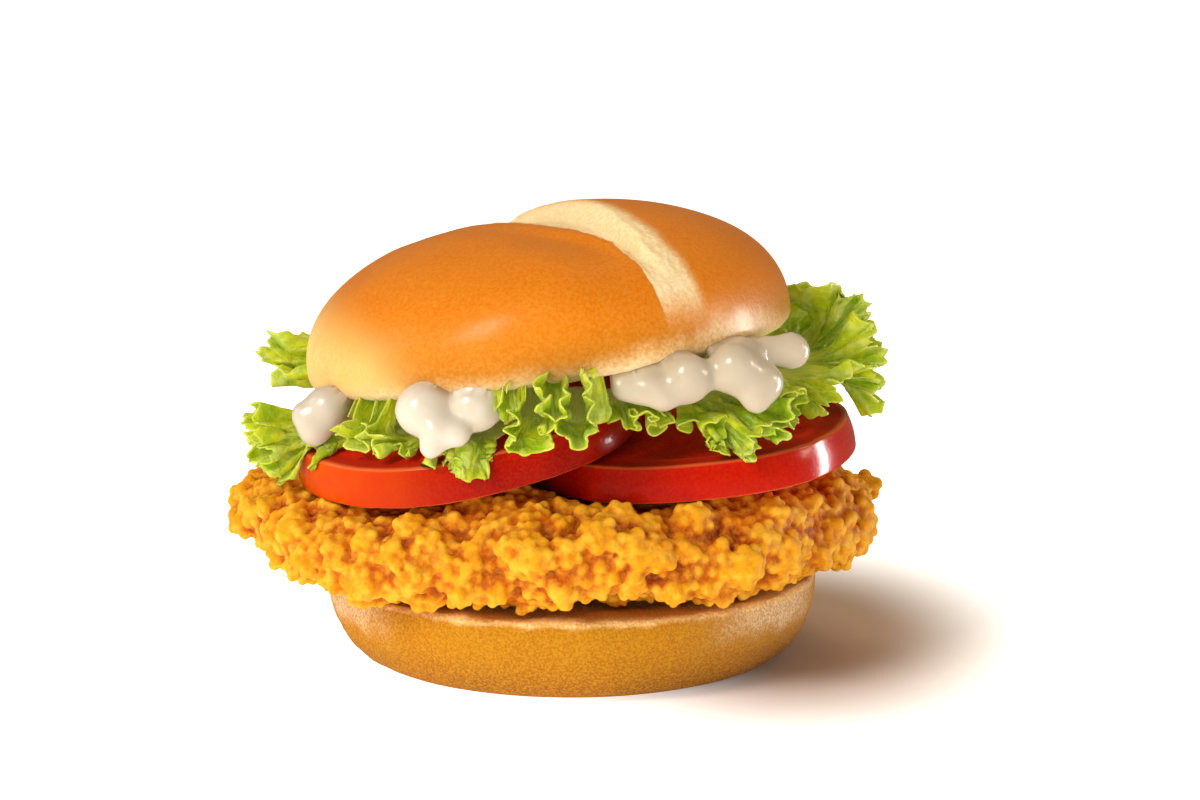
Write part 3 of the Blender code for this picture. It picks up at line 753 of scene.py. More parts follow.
def chamber_share(points, radius):
    """1 in the seed chambers, which lie between the walls that run out from the core."""
    turn = np.arctan2(points[:, 1], points[:, 0])
    out = np.hypot(points[:, 0], points[:, 1]) / radius
    wobble = 0.25 * ripple_field(points, radius * 0.5, 31)
    across = 0.5 + 0.5 * np.cos(CHAMBERS * (turn + wobble))
    ring = smoothstep(*CHAMBER_START, out) * (1 - smoothstep(*CHAMBER_END, out))
    return smoothstep(*CHAMBER_SIDES, across) * ring


def slice_mesh(radius, thickness, centre, roll, pitch, turn):
    """A slice in its place, with the shares of its face, chambers, outer wall and painted rim highlight at
    each point.
    """
    mesh = turned_mesh(slice_profile(radius, thickness), TOMATO_STEPS, thickness, 0.0)
    points = points_of(mesh)
    angle = np.arctan2(points[:, 1], points[:, 0])
    out = np.hypot(points[:, 0], points[:, 1])
    face = 1 - smoothstep(0.0, TOMATO_EDGE, np.minimum(thickness - points[:, 2], points[:, 2]))
    chamber = chamber_share(points, radius) * face
    rim = radius - TOMATO_TAPER * points[:, 2] / thickness
    set_attribute(mesh, "face", face * (1 - smoothstep(rim - FLESH_END[0], rim - FLESH_END[1], out)))
    set_attribute(mesh, "chamber", chamber)
    set_attribute(mesh, "wall", smoothstep(*OUTER_WALL, out / radius))
    set_attribute(mesh, "rim_highlight", face * smoothstep(rim - RIM_HIGHLIGHT_BAND[0], rim - RIM_HIGHLIGHT_BAND[1], out))
    points[:, :2] *= (1 + TOMATO_LOBE_DEPTH / radius * np.cos(TOMATO_LOBES * angle))[:, None]
    inward = np.where(points[:, 2] > thickness / 2, -1, 1)
    grain = FACE_GRAIN * face * (1 + ripple_field(points, FACE_GRAIN_SIZE, 33))
    points[:, 2] += inward * (CHAMBER_DEPTH * chamber + grain)
    pose = Matrix.Rotation(math.radians(-roll), 3, "Y")
    pose = pose @ Matrix.Rotation(math.radians(pitch), 3, "X")
    pose = pose @ Matrix.Rotation(math.radians(turn), 3, "Z")
    set_points(mesh, points @ np.array(pose).T + np.array(centre))
    return mesh


# %% [markdown]
# The skin's colour is painted light and shade: orange red at the left, where the strongest light falls,
# darkest red in the middle and deep red at the right.
# The flesh is duller than the skin, so the coat and the smoothness go away on the faces.

# %% Paint and lay the tomato slices
# name: (radius, thickness, centre of the lower face, roll, pitch and turn in degrees)
TOMATO_SLICES = {
    "tomato_slice_right": (0.0330, 0.0072, (0.0244, -0.0115, 0.0418), 5.0, 3.0, 20),
    "tomato_slice_left": (0.0345, 0.0078, (-0.0200, -0.0130, 0.0448), 10.5, 6.5, -35),
}

tomato_paint = Paint(
    "tomato_skin_and_flesh", Coat_Roughness=0.12, Subsurface_Weight=0.08, Subsurface_Scale=0.0025,
    Subsurface_Radius=(1.0, 0.25, 0.1), Specular_IOR_Level=0.12,
)
fleck = tomato_paint.patches(0.0006, rough=0.6)
across = tomato_paint.axis("X")
face_share = tomato_paint.attribute("face")
flesh = tomato_paint.layers(
    tomato_paint.mix(fleck * 0.6, "e01602", "f2400e"),
    (tomato_paint.attribute("chamber"), tomato_paint.mix(fleck * 0.5, "d41402", "ec3a0a")),
    (tomato_paint.attribute("wall"), "bc1e08"),
)
tomato_paint.set(
    Base_Color=tomato_paint.layers(
        "d84c02",
        # Painted light and shade: from orange red at the left end to darker reds towards the middle and the
        # right.
        (tomato_paint.between(across, -0.050, -0.018), "9a0402"),
        (tomato_paint.between(across, -0.010, 0.030), "b80e03"),
        (tomato_paint.patches(0.009) * 0.3, "b81a04"),
        (fleck * 0.2, "cc3c0a"),
        (face_share, flesh),
        # A painted highlight where light catches the rim of each face.
        (tomato_paint.attribute("rim_highlight") * 0.55, "f08048"),
    ),
    Roughness=0.22 + face_share * 0.50,
    Coat_Weight=0.24 - face_share * 0.22,
)
tomato_paint.bump(tomato_paint.grain(0.0008), 0.0002, 0.25)

for name, measures in TOMATO_SLICES.items():
    new_piece(name.replace("slice", "round"), slice_mesh(*measures), tomato_paint.material, "tomato", name)

# %% [markdown]
# ## The breaded chicken
# Fried breading is a cauliflower of clumps: lumps as large as a pea, knobbly with grains of one to three
# millimetres, which look golden on their lit tops and orange red in their shaded crevices. The solid already
# has the fillet's form, so it is shrunk a little and serves as the core. Geometry Nodes strew lumps over it,
# a voxel remesh melts them together, and a second round strews the grains over the lumps.

# %% Strew lumps over a surface
def scatter_tree(name, material):
    """A node group that strews small balls over a mesh, evenly, with random sizes, squashes and turns."""
    tree = bpy.data.node_groups.new(name, "GeometryNodeTree")
    inputs = {
        "Spacing": 0.002, "Smallest": 0.001, "Largest": 0.002, "Squash": 0.3, "Seed": 1, "Sink": 0.0,
    }
    tree.interface.new_socket("Geometry", in_out="INPUT", socket_type="NodeSocketGeometry")
    for label, value in inputs.items():
        kind = "NodeSocketInt" if label == "Seed" else "NodeSocketFloat"
        tree.interface.new_socket(label, in_out="INPUT", socket_type=kind).default_value = value
    tree.interface.new_socket("Geometry", in_out="OUTPUT", socket_type="NodeSocketGeometry")
    start = tree.nodes.new("NodeGroupInput")
    end = tree.nodes.new("NodeGroupOutput")

    def add(kind, settings=None, **links):
        made = tree.nodes.new(kind)
        for field, value in (settings or {}).items():
            setattr(made, field, value)
        for field, value in links.items():
            socket = made.inputs[int(field[1:]) if field[0] == "_" else field.replace("_", " ")]
            if isinstance(value, bpy.types.NodeSocket):
                tree.links.new(value, socket)
            else:
                socket.default_value = value
        return made

    spots = add(
        "GeometryNodeDistributePointsOnFaces", {"distribute_method": "POISSON"},
        Mesh=start.outputs["Geometry"], Distance_Min=start.outputs["Spacing"], Seed=start.outputs["Seed"],
        Density_Max=4000000.0,
    )
    sink = add("ShaderNodeVectorMath", {"operation": "SCALE"}, _0=spots.outputs["Normal"],
               Scale=start.outputs["Sink"])
    moved = add("GeometryNodeSetPosition", Geometry=spots.outputs["Points"], Offset=sink.outputs[0])
    size = add("FunctionNodeRandomValue", {"data_type": "FLOAT"},
               _2=start.outputs["Smallest"], _3=start.outputs["Largest"], Seed=start.outputs["Seed"])
    flat = add("ShaderNodeMath", {"operation": "SUBTRACT"}, _0=1.0, _1=start.outputs["Squash"])
    squash = add("FunctionNodeRandomValue", {"data_type": "FLOAT"}, _2=flat.outputs[0], _3=1.0, Seed=7)
    narrow = add("ShaderNodeMath", {"operation": "MULTIPLY"}, _0=size.outputs[1], _1=squash.outputs[1])
    scale = add("ShaderNodeCombineXYZ", X=narrow.outputs[0], Y=size.outputs[1], Z=narrow.outputs[0])
    turn = add("FunctionNodeRandomValue", {"data_type": "FLOAT_VECTOR"}, _1=(math.tau,) * 3, Seed=3)
    ball = add("GeometryNodeMeshIcoSphere", Radius=1.0, Subdivisions=2)
    strewn = add(
        "GeometryNodeInstanceOnPoints", Points=moved.outputs[0], Instance=ball.outputs["Mesh"],
        Scale=scale.outputs[0], Rotation=turn.outputs[0],
    )
    real = add("GeometryNodeRealizeInstances", Geometry=strewn.outputs[0])
    joined = tree.nodes.new("GeometryNodeJoinGeometry")
    tree.links.new(start.outputs["Geometry"], joined.inputs[0])
    tree.links.new(real.outputs[0], joined.inputs[0])
    finished = add("GeometryNodeSetMaterial", Geometry=joined.outputs[0], Material=material)
    tree.links.new(finished.outputs[0], end.inputs["Geometry"])
    return tree


def strewn_with(mesh, tree, **values):
    """The mesh with its scatter tree applied. An input is set by its socket's identifier."""
    inputs = {item.identifier: values[item.name] for item in tree.interface.items_tree if item.name in values}
    return with_modifiers(mesh, ("NODES", {"node_group": tree, **inputs}))


def neighbours_of(mesh):
    """The ends of every edge, as two lists of point numbers."""
    ends = np.empty(len(mesh.edges) * 2, np.int32)
    mesh.edges.foreach_get("vertices", ends)
    ends = ends.reshape(-1, 2)
    return ends[:, 0], ends[:, 1]


def smoothed(values, first, second, rounds):
    """Values averaged with their neighbours' over a number of rounds."""
    count = np.bincount(first, minlength=len(values)) + np.bincount(second, minlength=len(values))
    columns = values.reshape(len(values), -1)
    for _ in range(rounds):
        total = np.stack([
            np.bincount(first, column[second], len(values)) + np.bincount(second, column[first], len(values))
            for column in columns.T
        ], 1)
        columns = 0.5 * columns + 0.5 * total / count[:, None]
    return columns.reshape(values.shape)


# %% [markdown]
# The crust's colours follow its relief, as painted light and shade. Each point is compared with the average
# of its surroundings: what stands out is painted golden as if lit, what lies deep is painted orange red as
# shade. Two such averages, a narrow and a wide one, catch both the grains and the clumps, and slow noise adds
# paler and darker areas. Pale yellow patches on the tops are painted highlights.

# %% Paint the breading
breading_paint = Paint(
    "fried_crumb", Roughness=0.60, Subsurface_Weight=0.12, Subsurface_Scale=0.0012,
    Subsurface_Radius=(1.0, 0.45, 0.1), Specular_IOR_Level=0.10, Specular_Tint=(1.0, 0.8, 0.5, 1.0),
)
proud = breading_paint.attribute("proud")
breading_paint.set(Base_Color=breading_paint.layers(
    # Painted shade in the crevices and painted light on the tops.
    breading_paint.ramp(proud, (0.0, "802202"), (0.28, "b04003"), (0.56, "c26604"), (1.0, "e49c12")),
    (breading_paint.patches(0.010, 2.5, 0.55) * 0.35, "ce7206"),
    # Painted highlights of pale yellow on the tops.
    (breading_paint.patches(0.0028, low=0.42, high=0.66) * proud * 0.50, "f8c840"),
    (breading_paint.patches(0.0007, 3.0, 0.6) * 0.14, "f6cc60"),
))
breading_paint.bump(breading_paint.grain(0.0006, 3.0, 0.65), 0.0003, 0.5)

# %% [markdown]
# The solid's outline has to hold, so its copy is shrunk before the lumps go on, and what still stands far
# out is drawn back. Slow crags break the copy's smoothness first. A fillet droops over the rim of the bun
# below it, so the lower edge is let down a little at the end.

# %% Build the breading
CORE_SHRINK = 0.0024
CORE_VOXEL = 0.0016
CRAGS = ((0.011, 0.0014), (0.0055, 0.0007))
LUMPS = {"Spacing": 0.0062, "Smallest": 0.0018, "Largest": 0.0042, "Squash": 0.35, "Seed": 4, "Sink": -0.0005}
LUMP_VOXEL = 0.0009
GRAINS = {"Spacing": 0.0021, "Smallest": 0.0007, "Largest": 0.0017, "Squash": 0.3, "Seed": 9, "Sink": 0.0}
GRAIN_VOXEL = 0.00045
BREADING_TRIANGLES = 190000
BREADING_SOFTENING = 0.4
BREADING_GAP, BREADING_REACH = 0.0003, 0.003
OUTER_LIMIT = 0.0020
SAG = 0.0018
SAG_HEIGHTS = (0.034, 0.022)
SAG_REACH = (0.034, 0.048)
NARROW_ROUNDS, WIDE_ROUNDS = 6, 110
# How proud a point looks: its share at no relief, then the gain and the full relief of both averages.
PROUD_MIDDLE, PROUD_NARROW, PROUD_WIDE = 0.52, (0.20, 0.00016), (0.46, 0.0009)


def remeshed(mesh, voxel):
    return with_modifiers(mesh, ("REMESH", {"mode": "VOXEL", "voxel_size": voxel}))


def held_in(points, mesh, limit):
    """The points, with those that stand far out of a solid drawn back, so that the solid's outline holds."""
    tree = tree_of(mesh)
    held = points.copy()
    for index, point in enumerate(points):
        spot, normal, _, distance = tree.find_nearest(Vector(point))
        away = Vector(point) - spot
        if away.dot(normal) > 0 and distance > limit / 4:
            held[index] = spot + away * (limit * math.tanh(distance / limit) / distance)
    return held


def crumbed(core):
    """The core under lumps and grains, with no more triangles than allowed."""
    scatter = scatter_tree("crumbs", breading_paint.material)
    lumpy = remeshed(strewn_with(core, scatter, **LUMPS), LUMP_VOXEL)
    grainy = remeshed(strewn_with(lumpy, scatter, **GRAINS), GRAIN_VOXEL)
    share = min(1.0, BREADING_TRIANGLES / triangles_in(grainy))
    return with_modifiers(grainy, ("TRIANGULATE", {}), ("DECIMATE", {"ratio": share}))


def relief_share(points, out, first, second):
    """From 0 in the crevices to 1 on the tops of the lumps."""
    soft_out = smoothed(out, first, second, 4)
    share = PROUD_MIDDLE
    for rounds, (gain, full) in ((NARROW_ROUNDS, PROUD_NARROW), (WIDE_ROUNDS, PROUD_WIDE)):
        relief = np.sum((points - smoothed(points, first, second, rounds)) * soft_out, 1)
        share = share + gain * np.tanh(relief / full)
    return np.clip(share, 0, 1)


patty_solid = solid_copy("chicken_patty")
core = remeshed(patty_solid, CORE_VOXEL)
crag = ripples(points_of(core), CRAGS, 60) - CORE_SHRINK
set_points(core, points_of(core) + normals_of(core) * crag[:, None])
breading = crumbed(core)
first, second = neighbours_of(breading)
points = points_of(breading)
points += BREADING_SOFTENING * (smoothed(points, first, second, 1) - points)
points = held_in(points, patty_solid, OUTER_LIMIT)
low = smoothstep(*SAG_HEIGHTS, points[:, 2]) * smoothstep(*SAG_REACH, np.hypot(points[:, 0], points[:, 1]))
points[:, 2] -= SAG * low
points = around.clear(points, BREADING_GAP, BREADING_REACH)
set_points(breading, points)
set_attribute(breading, "proud", relief_share(points, normals_of(breading), first, second))
new_piece("breaded_chicken", breading, breading_paint.material, "breading", "chicken_patty")

# %% [markdown]
# ## The mayonnaise
# Thick sauce squeezed out under the bun: rounded lobes that run together in soft creases, with a wet shine.
# The solids were made from balls, and the same balls serve again here, with a few small ones for drips.
# Smoothed metaballs would fill the creases, so the balls are joined by a voxel remesh and then relaxed a
# little.

# %% Pour the mayonnaise
MAYO_VOXEL = 0.00060
MAYO_SWELL = 1.02
MAYO_SMOOTH_ROUNDS = {"mayonnaise_left": 20, "mayonnaise_front": 20, "mayonnaise_right": 40}
MAYO_PUFF, MAYO_DIMPLE, MAYO_DIMPLE_SIZE = 0.0005, 0.0004, 0.0055
MAYO_GAP, MAYO_REACH = 0.00025, 0.002
# Each dollop's balls: (x, y, z, radius), in metres.
DOLLOPS = {
    "mayonnaise_left": (
        (-0.037, -0.0165, 0.0560, 0.0040), (-0.043, -0.0210, 0.0555, 0.0044),
        (-0.0478, -0.0260, 0.0552, 0.0042), (-0.0500, -0.0275, 0.0512, 0.0032),
        (-0.0520, -0.0270, 0.0540, 0.0024),
    ),
    "mayonnaise_front": (
        (-0.021, -0.031, 0.0590, 0.0040), (-0.024, -0.037, 0.0585, 0.0046),
        (-0.0280, -0.0445, 0.0582, 0.0050), (-0.0180, -0.0450, 0.0590, 0.0046),
        (-0.0250, -0.0475, 0.0548, 0.0036), (-0.0215, -0.0490, 0.0545, 0.0026),
        (-0.0262, -0.0490, 0.0520, 0.0022), (-0.0135, -0.0440, 0.0600, 0.0030),
    ),
    "mayonnaise_right": (
        (0.022, -0.035, 0.0650, 0.0042), (0.0145, -0.0430, 0.0625, 0.0038), (0.0225, -0.0435, 0.0640, 0.0046),
        (0.0315, -0.0415, 0.0655, 0.0050), (0.0370, -0.0405, 0.0628, 0.0040), (0.033, -0.035, 0.0665, 0.0042),
        (0.038, -0.031, 0.0672, 0.0030), (0.0430, -0.0295, 0.0672, 0.0036), (0.0180, -0.0455, 0.0605, 0.0028),
        (0.0100, -0.0440, 0.0622, 0.0026), (0.0355, -0.0430, 0.0600, 0.0030),
    ),
}


def melted_balls(balls):
    """One mesh from a cluster of balls, with soft creases where they meet."""
    bm = bmesh.new()
    for x, y, z, radius in balls:
        place = Matrix.Translation((x, y, z))
        bmesh.ops.create_icosphere(bm, subdivisions=4, radius=radius * MAYO_SWELL, matrix=place)
    mesh = bpy.data.meshes.new("balls")
    bm.to_mesh(mesh)
    bm.free()
    return remeshed(mesh, MAYO_VOXEL)


def dollop_mesh(balls, rounds):
    mesh = melted_balls(balls)
    points = smoothed(points_of(mesh), *neighbours_of(mesh), rounds)
    set_points(mesh, points)
    swell = MAYO_PUFF + MAYO_DIMPLE * ripple_field(points, MAYO_DIMPLE_SIZE, 41)
    points = points + normals_of(mesh) * swell[:, None]
    set_points(mesh, around.clear(points, MAYO_GAP, MAYO_REACH))
    return mesh


# %% [markdown]
# The sauce is an off-white, painted a little darker at the far left, where the strongest light falls, and a
# darker cream at the right, where the right dollop lies in shade: painted shade at both ends. Light sinks
# into it, so it has some subsurface scattering below its wet coat.

# %% Paint the mayonnaise
mayo_paint = Paint(
    "thick_sauce", Roughness=0.30, Coat_Weight=0.42, Coat_Roughness=0.12, Subsurface_Weight=0.15,
    Subsurface_Scale=0.003, Subsurface_Radius=(1.0, 0.85, 0.7), Specular_IOR_Level=0.3,
)
across = mayo_paint.axis("X")
mayo_paint.set(Base_Color=mayo_paint.layers(
    "c8c0b4",
    # Painted shade: darker at the far left and a darker cream at the right.
    (mayo_paint.between(across, -0.045, -0.030), "dad2c6"),
    (mayo_paint.between(across, -0.01, 0.02), "c4b8a4"),
    (mayo_paint.patches(0.006) * 0.4, "d4c6b2"),
))
mayo_paint.bump(mayo_paint.grain(0.004, 1.5), 0.0005, 0.15)

for name, balls in DOLLOPS.items():
    mesh = dollop_mesh(balls, MAYO_SMOOTH_ROUNDS[name])
    new_piece(name.replace("mayonnaise", "sauce"), mesh, mayo_paint.material, "mayonnaise", name)

# %% [markdown]
# ## The lettuce
# A leaf of curly lettuce grows more edge than it has room for, so its margin folds into ruffles, and
# smaller ruffles on those, down to ragged teeth. Cloth simulation could gather a sheet like that, but here
# each leaf follows a rule: it fans out from under the bun, lies on what is below it, and past the rim its
# surface climbs and falls more and more steeply. The frill's curve is summed step by step, so its length
# stays true.

# %% Describe the leaves
# Angles are in degrees and lengths in metres. A leaf's azimuth runs from one of its ends to the other,
# anticlockwise from +X, and root and rim are radii with their heights. Frill is the reach past the rim at
# both ends, lift how far the frill points up there, folds the number of big ruffles and fold how far they
# swing. Phase and seed tell the leaves apart, smooth is how much of the frill stays flat, and ruffle is the
# strength of the small ruffles.
Leaf = namedtuple(
    "Leaf", "azimuth root rim frill lift folds fold phase seed smooth ruffle", defaults=(0.0, 1.0),
)
LEAVES = {
    "lettuce_back": Leaf(
        (133, 84), (0.025, 0.057), (0.037, 0.0535), (0.019, 0.019), (-12, -18), 3.8, 52, 0.3, 1,
    ),
    "lettuce_back_right": Leaf(
        (78, 24), (0.020, 0.057), (0.036, 0.0575), (0.020, 0.021), (-15, 5), 4.2, 52, 1.2, 2,
    ),
    "lettuce_left": Leaf(
        (-148, -178), (0.018, 0.0525), (0.044, 0.0505), (0.024, 0.026), (-34, -2), 2.6, 42, 0.6, 5, 0.1,
    ),
    "lettuce_left_back": Leaf(
        (178, 145), (0.027, 0.0565), (0.045, 0.0525), (0.024, 0.018), (46, -5), 2.9, 38, 0.2, 6, 0.1,
    ),
    "lettuce_front_dip": Leaf(
        (-108, -123), (0.020, 0.0525), (0.044, 0.0505), (0.010, 0.011), (-25, -20), 2.1, 32, 0.0, 8,
    ),
    "lettuce_front_left": Leaf(
        (-127, -146), (0.018, 0.0525), (0.043, 0.0505), (0.014, 0.018), (0, 26), 2.1, 42, 1.0, 7,
    ),
    "lettuce_under_right": Leaf(
        (-63, -78), (0.028, 0.0590), (0.036, 0.0580), (0.012, 0.012), (-25, -5), 1.7, 34, 0.0, 4,
    ),
    "lettuce_front_right": Leaf(
        (-29, -60), (0.024, 0.0600), (0.036, 0.0590), (0.024, 0.022), (-12, -45), 3.6, 42, 2.6, 10,
    ),
    "lettuce_front_middle": Leaf(
        (-82, -106), (0.018, 0.0580), (0.044, 0.0565), (0.018, 0.015), (34, 2), 2.1, 74, 0.1, 9, 0.0, 0.75,
    ),
    "lettuce_right": Leaf(
        (22, -26), (0.020, 0.0600), (0.043, 0.0600), (0.021, 0.021), (66, -42), 3.6, 70, 0.9, 11, 0.1, 0.9,
    ),
}
LEAF_WANDER, LEAF_SWING_SPREAD, LEAF_LENGTH_SPREAD, LEAF_END_TAPER = 0.10, 0.5, 0.25, 0.45
LEAF_LIFT_RUN, LEAF_FOLD_RUN = 0.5, 0.7
print("leaves described:", len(LEAVES))

# %% Work out a leaf's sheet
# Each row of teeth: pitch, length, how pointed a tooth is, and a number that keeps the rows apart.
TEETH = ((0.0085, 0.0034, 0.6, 0.3), (0.0027, 0.0015, 1.3, 0.0))
TOOTH_WANDER, TOOTH_MIDDLE = 0.8, 0.55
# The fine sheet folds and reaches a little less than the coarse one, because ruffles and teeth add to both.
FOLD_EASE, FRILL_EASE = 0.66, 0.93
COARSE_MEANDER, FINE_MEANDER = 0.06, 0.15
PATH_STEPS = 60


def line_noise(shares, pitch, seed, level):
    """Mathutils' smooth noise along the leaf, the same one that shaped the solids."""
    return np.array([noise.noise(Vector((pitch * share, seed, level))) for share in shares])


def toothed(place, point, seed):
    """A row of uneven teeth from 0 to 1: each rises and falls once, and has its own height."""
    number = np.floor(place)
    within = place - number
    heights = 0.35 + 0.65 * np.abs(np.sin(number * 12.9898 + seed * 78.233))
    return heights * (1 - np.abs(2 * within - 1)) ** point


def frill_reach(leaf, shares, run):
    """How far the frill reaches past the rim at each column, with its teeth if the places are given."""
    reach = leaf.frill[0] + (leaf.frill[1] - leaf.frill[0]) * shares
    reach = reach * (1 + LEAF_LENGTH_SPREAD * line_noise(shares, 7.7, 2.3 * leaf.seed, 2.5))
    reach *= (1 if run is None else FRILL_EASE) * (1 - LEAF_END_TAPER * np.abs(2 * shares - 1) ** 5)
    if run is not None:
        for pitch, length, point, number in TEETH:
            place = run / pitch + TOOTH_WANDER * line_noise(run / pitch, 0.45, leaf.seed, 8.5 + number)
            reach = reach + length * (toothed(place, point, leaf.seed + number) - TOOTH_MIDDLE)
    return reach


def summed(values):
    """Running sums of each row, starting from 0."""
    return np.concatenate((np.zeros((len(values), 1)), np.cumsum(values, 1)), 1)


def leaf_sheet(leaf, shares, rows, run=None):
    """Points of the leaf as it would hang free, one column for each share of its width.

    With the columns' places along the edge, the edge gets its teeth."""
    wander = LEAF_WANDER * line_noise(shares, 3.1, 7.7 * leaf.seed, 0.5)
    ruffle = 2 * math.pi * leaf.folds * (shares + wander) + leaf.phase
    fold = math.radians(leaf.fold) * (1 + LEAF_SWING_SPREAD * line_noise(shares, 4.3, 5.1 * leaf.seed, 1.5))
    fold = fold * (1 if run is None else FOLD_EASE)
    lift = np.radians(leaf.lift[0] + (leaf.lift[1] - leaf.lift[0]) * shares)
    frill = frill_reach(leaf, shares, run)
    start, end = (math.radians(angle) for angle in leaf.azimuth)
    (root, root_height), (rim, rim_height) = leaf.root, leaf.rim
    meander = (COARSE_MEANDER if run is None else FINE_MEANDER) * (end - start) / leaf.folds
    steps = (np.arange(PATH_STEPS) + 0.5) / PATH_STEPS
    climb = lift[:, None] * smoothstep(0.0, LEAF_LIFT_RUN, steps)
    swing = smoothstep(leaf.smooth, leaf.smooth + LEAF_FOLD_RUN, steps)
    climb = climb + (fold * np.cos(ruffle))[:, None] * swing
    away = summed(np.cos(climb)) / PATH_STEPS
    rise = summed(np.sin(climb)) / PATH_STEPS

    sheet = np.zeros((len(shares), len(rows), 3))
    for index, row in enumerate(rows):
        inner, outer = min(1.0, row), max(0.0, row - 1)
        step = outer * PATH_STEPS
        low = min(int(step), PATH_STEPS - 1)
        part = step - low
        radius = root + (rim - root) * inner + frill * (away[:, low] * (1 - part) + away[:, low + 1] * part)
        height = root_height + (rim_height - root_height) * inner
        height = height + frill * (rise[:, low] * (1 - part) + rise[:, low + 1] * part)
        azimuth = start + (end - start) * shares + meander * np.sin(2 * ruffle) * outer
        sheet[:, index] = np.stack((radius * np.cos(azimuth), radius * np.sin(azimuth), height), 1)
    return sheet


# %% [markdown]
# A limp leaf takes the shape of what lies below it. The coarse sheet is first lifted onto the slices and
# brought down below the bun, then pressed clear of everything in rounds, each smoothed over its neighbours.
# Its moves are a smooth field, so the fine sheet can follow them without losing its own ruffles.

# %% Lay a coarse leaf on the burger
LEAF_CLEARANCE, LEAF_REACH = 0.0010, 0.004
LAY_COLUMNS, LAY_ROUNDS, LAST_ROUNDS = 50, 14, 3
LAY_SPREAD = 0.4
LAY_INNER, LAY_OUTER = 4, 8
RAY_HIGH, RAY_LOW = 0.2, -0.1


def beyond(point, trees, start, choose):
    """The point raised (max) or lowered (min) past what a plumb line from the start height meets."""
    way = math.copysign(1.0, start)
    for tree in trees:
        spot = tree.ray_cast(Vector((point.x, point.y, start)), Vector((0, 0, -way)))[0]
        if spot is not None:
            point.z = choose(point.z, spot.z + way * LEAF_CLEARANCE)
    return point


def laid_offsets(leaf, below, above):
    """How far a coarse grid of the leaf's points moves to lie on the burger, as a smooth grid of offsets."""
    shares = np.linspace(0, 1, LAY_COLUMNS)
    rows = np.concatenate((np.linspace(0, 1, LAY_INNER), 1 + np.linspace(0, 1, LAY_OUTER)[1:]))
    free = leaf_sheet(leaf, shares, rows)
    sheet = free.copy()
    for column in range(len(shares)):
        for index, row in enumerate(rows):
            point = beyond(Vector(sheet[column, index]), below, RAY_HIGH, max)
            if row <= 1:
                point = beyond(point, above, RAY_LOW, min)
            sheet[column, index] = point
    for turn in range(LAY_ROUNDS):
        pushed = around.clear(sheet.reshape(-1, 3), LEAF_CLEARANCE, LEAF_REACH).reshape(sheet.shape)
        moves = pushed - sheet
        padded = np.pad(moves, ((1, 1), (1, 1), (0, 0)), mode="edge")
        mean = (padded[:-2, 1:-1] + padded[2:, 1:-1] + padded[1:-1, :-2] + padded[1:-1, 2:]) / 4
        spread = LAY_SPREAD if turn < LAY_ROUNDS - LAST_ROUNDS else 0.0
        sheet += moves * (1 - spread) + mean * spread
    return shares, rows, sheet - free


def spread_grid(coarse_shares, coarse_rows, values, shares, rows):
    """A coarse grid of offsets read at finer columns and rows."""
    across = np.stack([
        [np.interp(shares, coarse_shares, values[:, row, axis]) for axis in range(3)]
        for row in range(len(coarse_rows))
    ])
    return np.stack([
        np.stack([np.interp(rows, coarse_rows, across[:, axis, column]) for axis in range(3)], 1)
        for column in range(len(shares))
    ])


# %% Make a leaf
FINE_CLEARANCE, FINE_REACH, FINE_ROUNDS = 0.00045, 0.003, 3
INNER_ROWS, OUTER_ROWS = 8, 44
COLUMN_PITCH = 0.00036
EDGE_SAMPLES = 1500
LEAF_THICKNESS = 0.00034
# Each ruffle: pitch, height, where it starts between the rim (0) and the edge (1), and its own number.
RUFFLES = ((0.0074, 0.0019, 0.30, 50), (0.0030, 0.00045, 0.70, 51))
RUFFLE_WANDER, RUFFLE_WANDER_RUN, RUFFLE_SPREAD, RUFFLE_SPREAD_RUN = 2.2, 1.7, 0.6, 2.5
BLISTERS = ((0.0095, 0.0015), (0.0048, 0.00050), (0.0019, 0.00016))


def edge_columns(leaf):
    """Shares of the leaf's width that lie evenly along its rippling edge, and their places along it."""
    dense = np.linspace(0, 1, EDGE_SAMPLES)
    edge = leaf_sheet(leaf, dense, [2.0])[:, 0]
    run = np.concatenate(([0], np.cumsum(np.linalg.norm(np.diff(edge, axis=0), axis=1))))
    places = np.linspace(0, run[-1], int(run[-1] / COLUMN_PITCH))
    return np.interp(places, run, dense), places


def grid_faces(columns, rows):
    corners = [column * rows + row for column in range(columns - 1) for row in range(rows - 1)]
    return [(corner, corner + rows, corner + rows + 1, corner + 1) for corner in corners]


def ruffled(points, out, run, rows, seed, strength):
    """The sheet's points with waves that grow towards the edge, as the margin of a curly leaf does."""
    outer = np.maximum(0.0, rows - 1)
    line = np.stack((run, 0 * run, 0 * run), 1)
    for pitch, height, start, number in RUFFLES:
        wander = RUFFLE_WANDER * ripple_field(line, pitch * RUFFLE_WANDER_RUN, seed + number)
        spread = RUFFLE_SPREAD * ripple_field(line, pitch * RUFFLE_SPREAD_RUN, seed + number + 7)
        wave = np.sin(2 * math.pi * run / pitch + wander) * (0.75 + spread)
        lift = strength * height * wave[:, None] * smoothstep(start / strength, 1.0, outer)[None, :]
        points = points + out * lift.reshape(-1, 1)
    return points


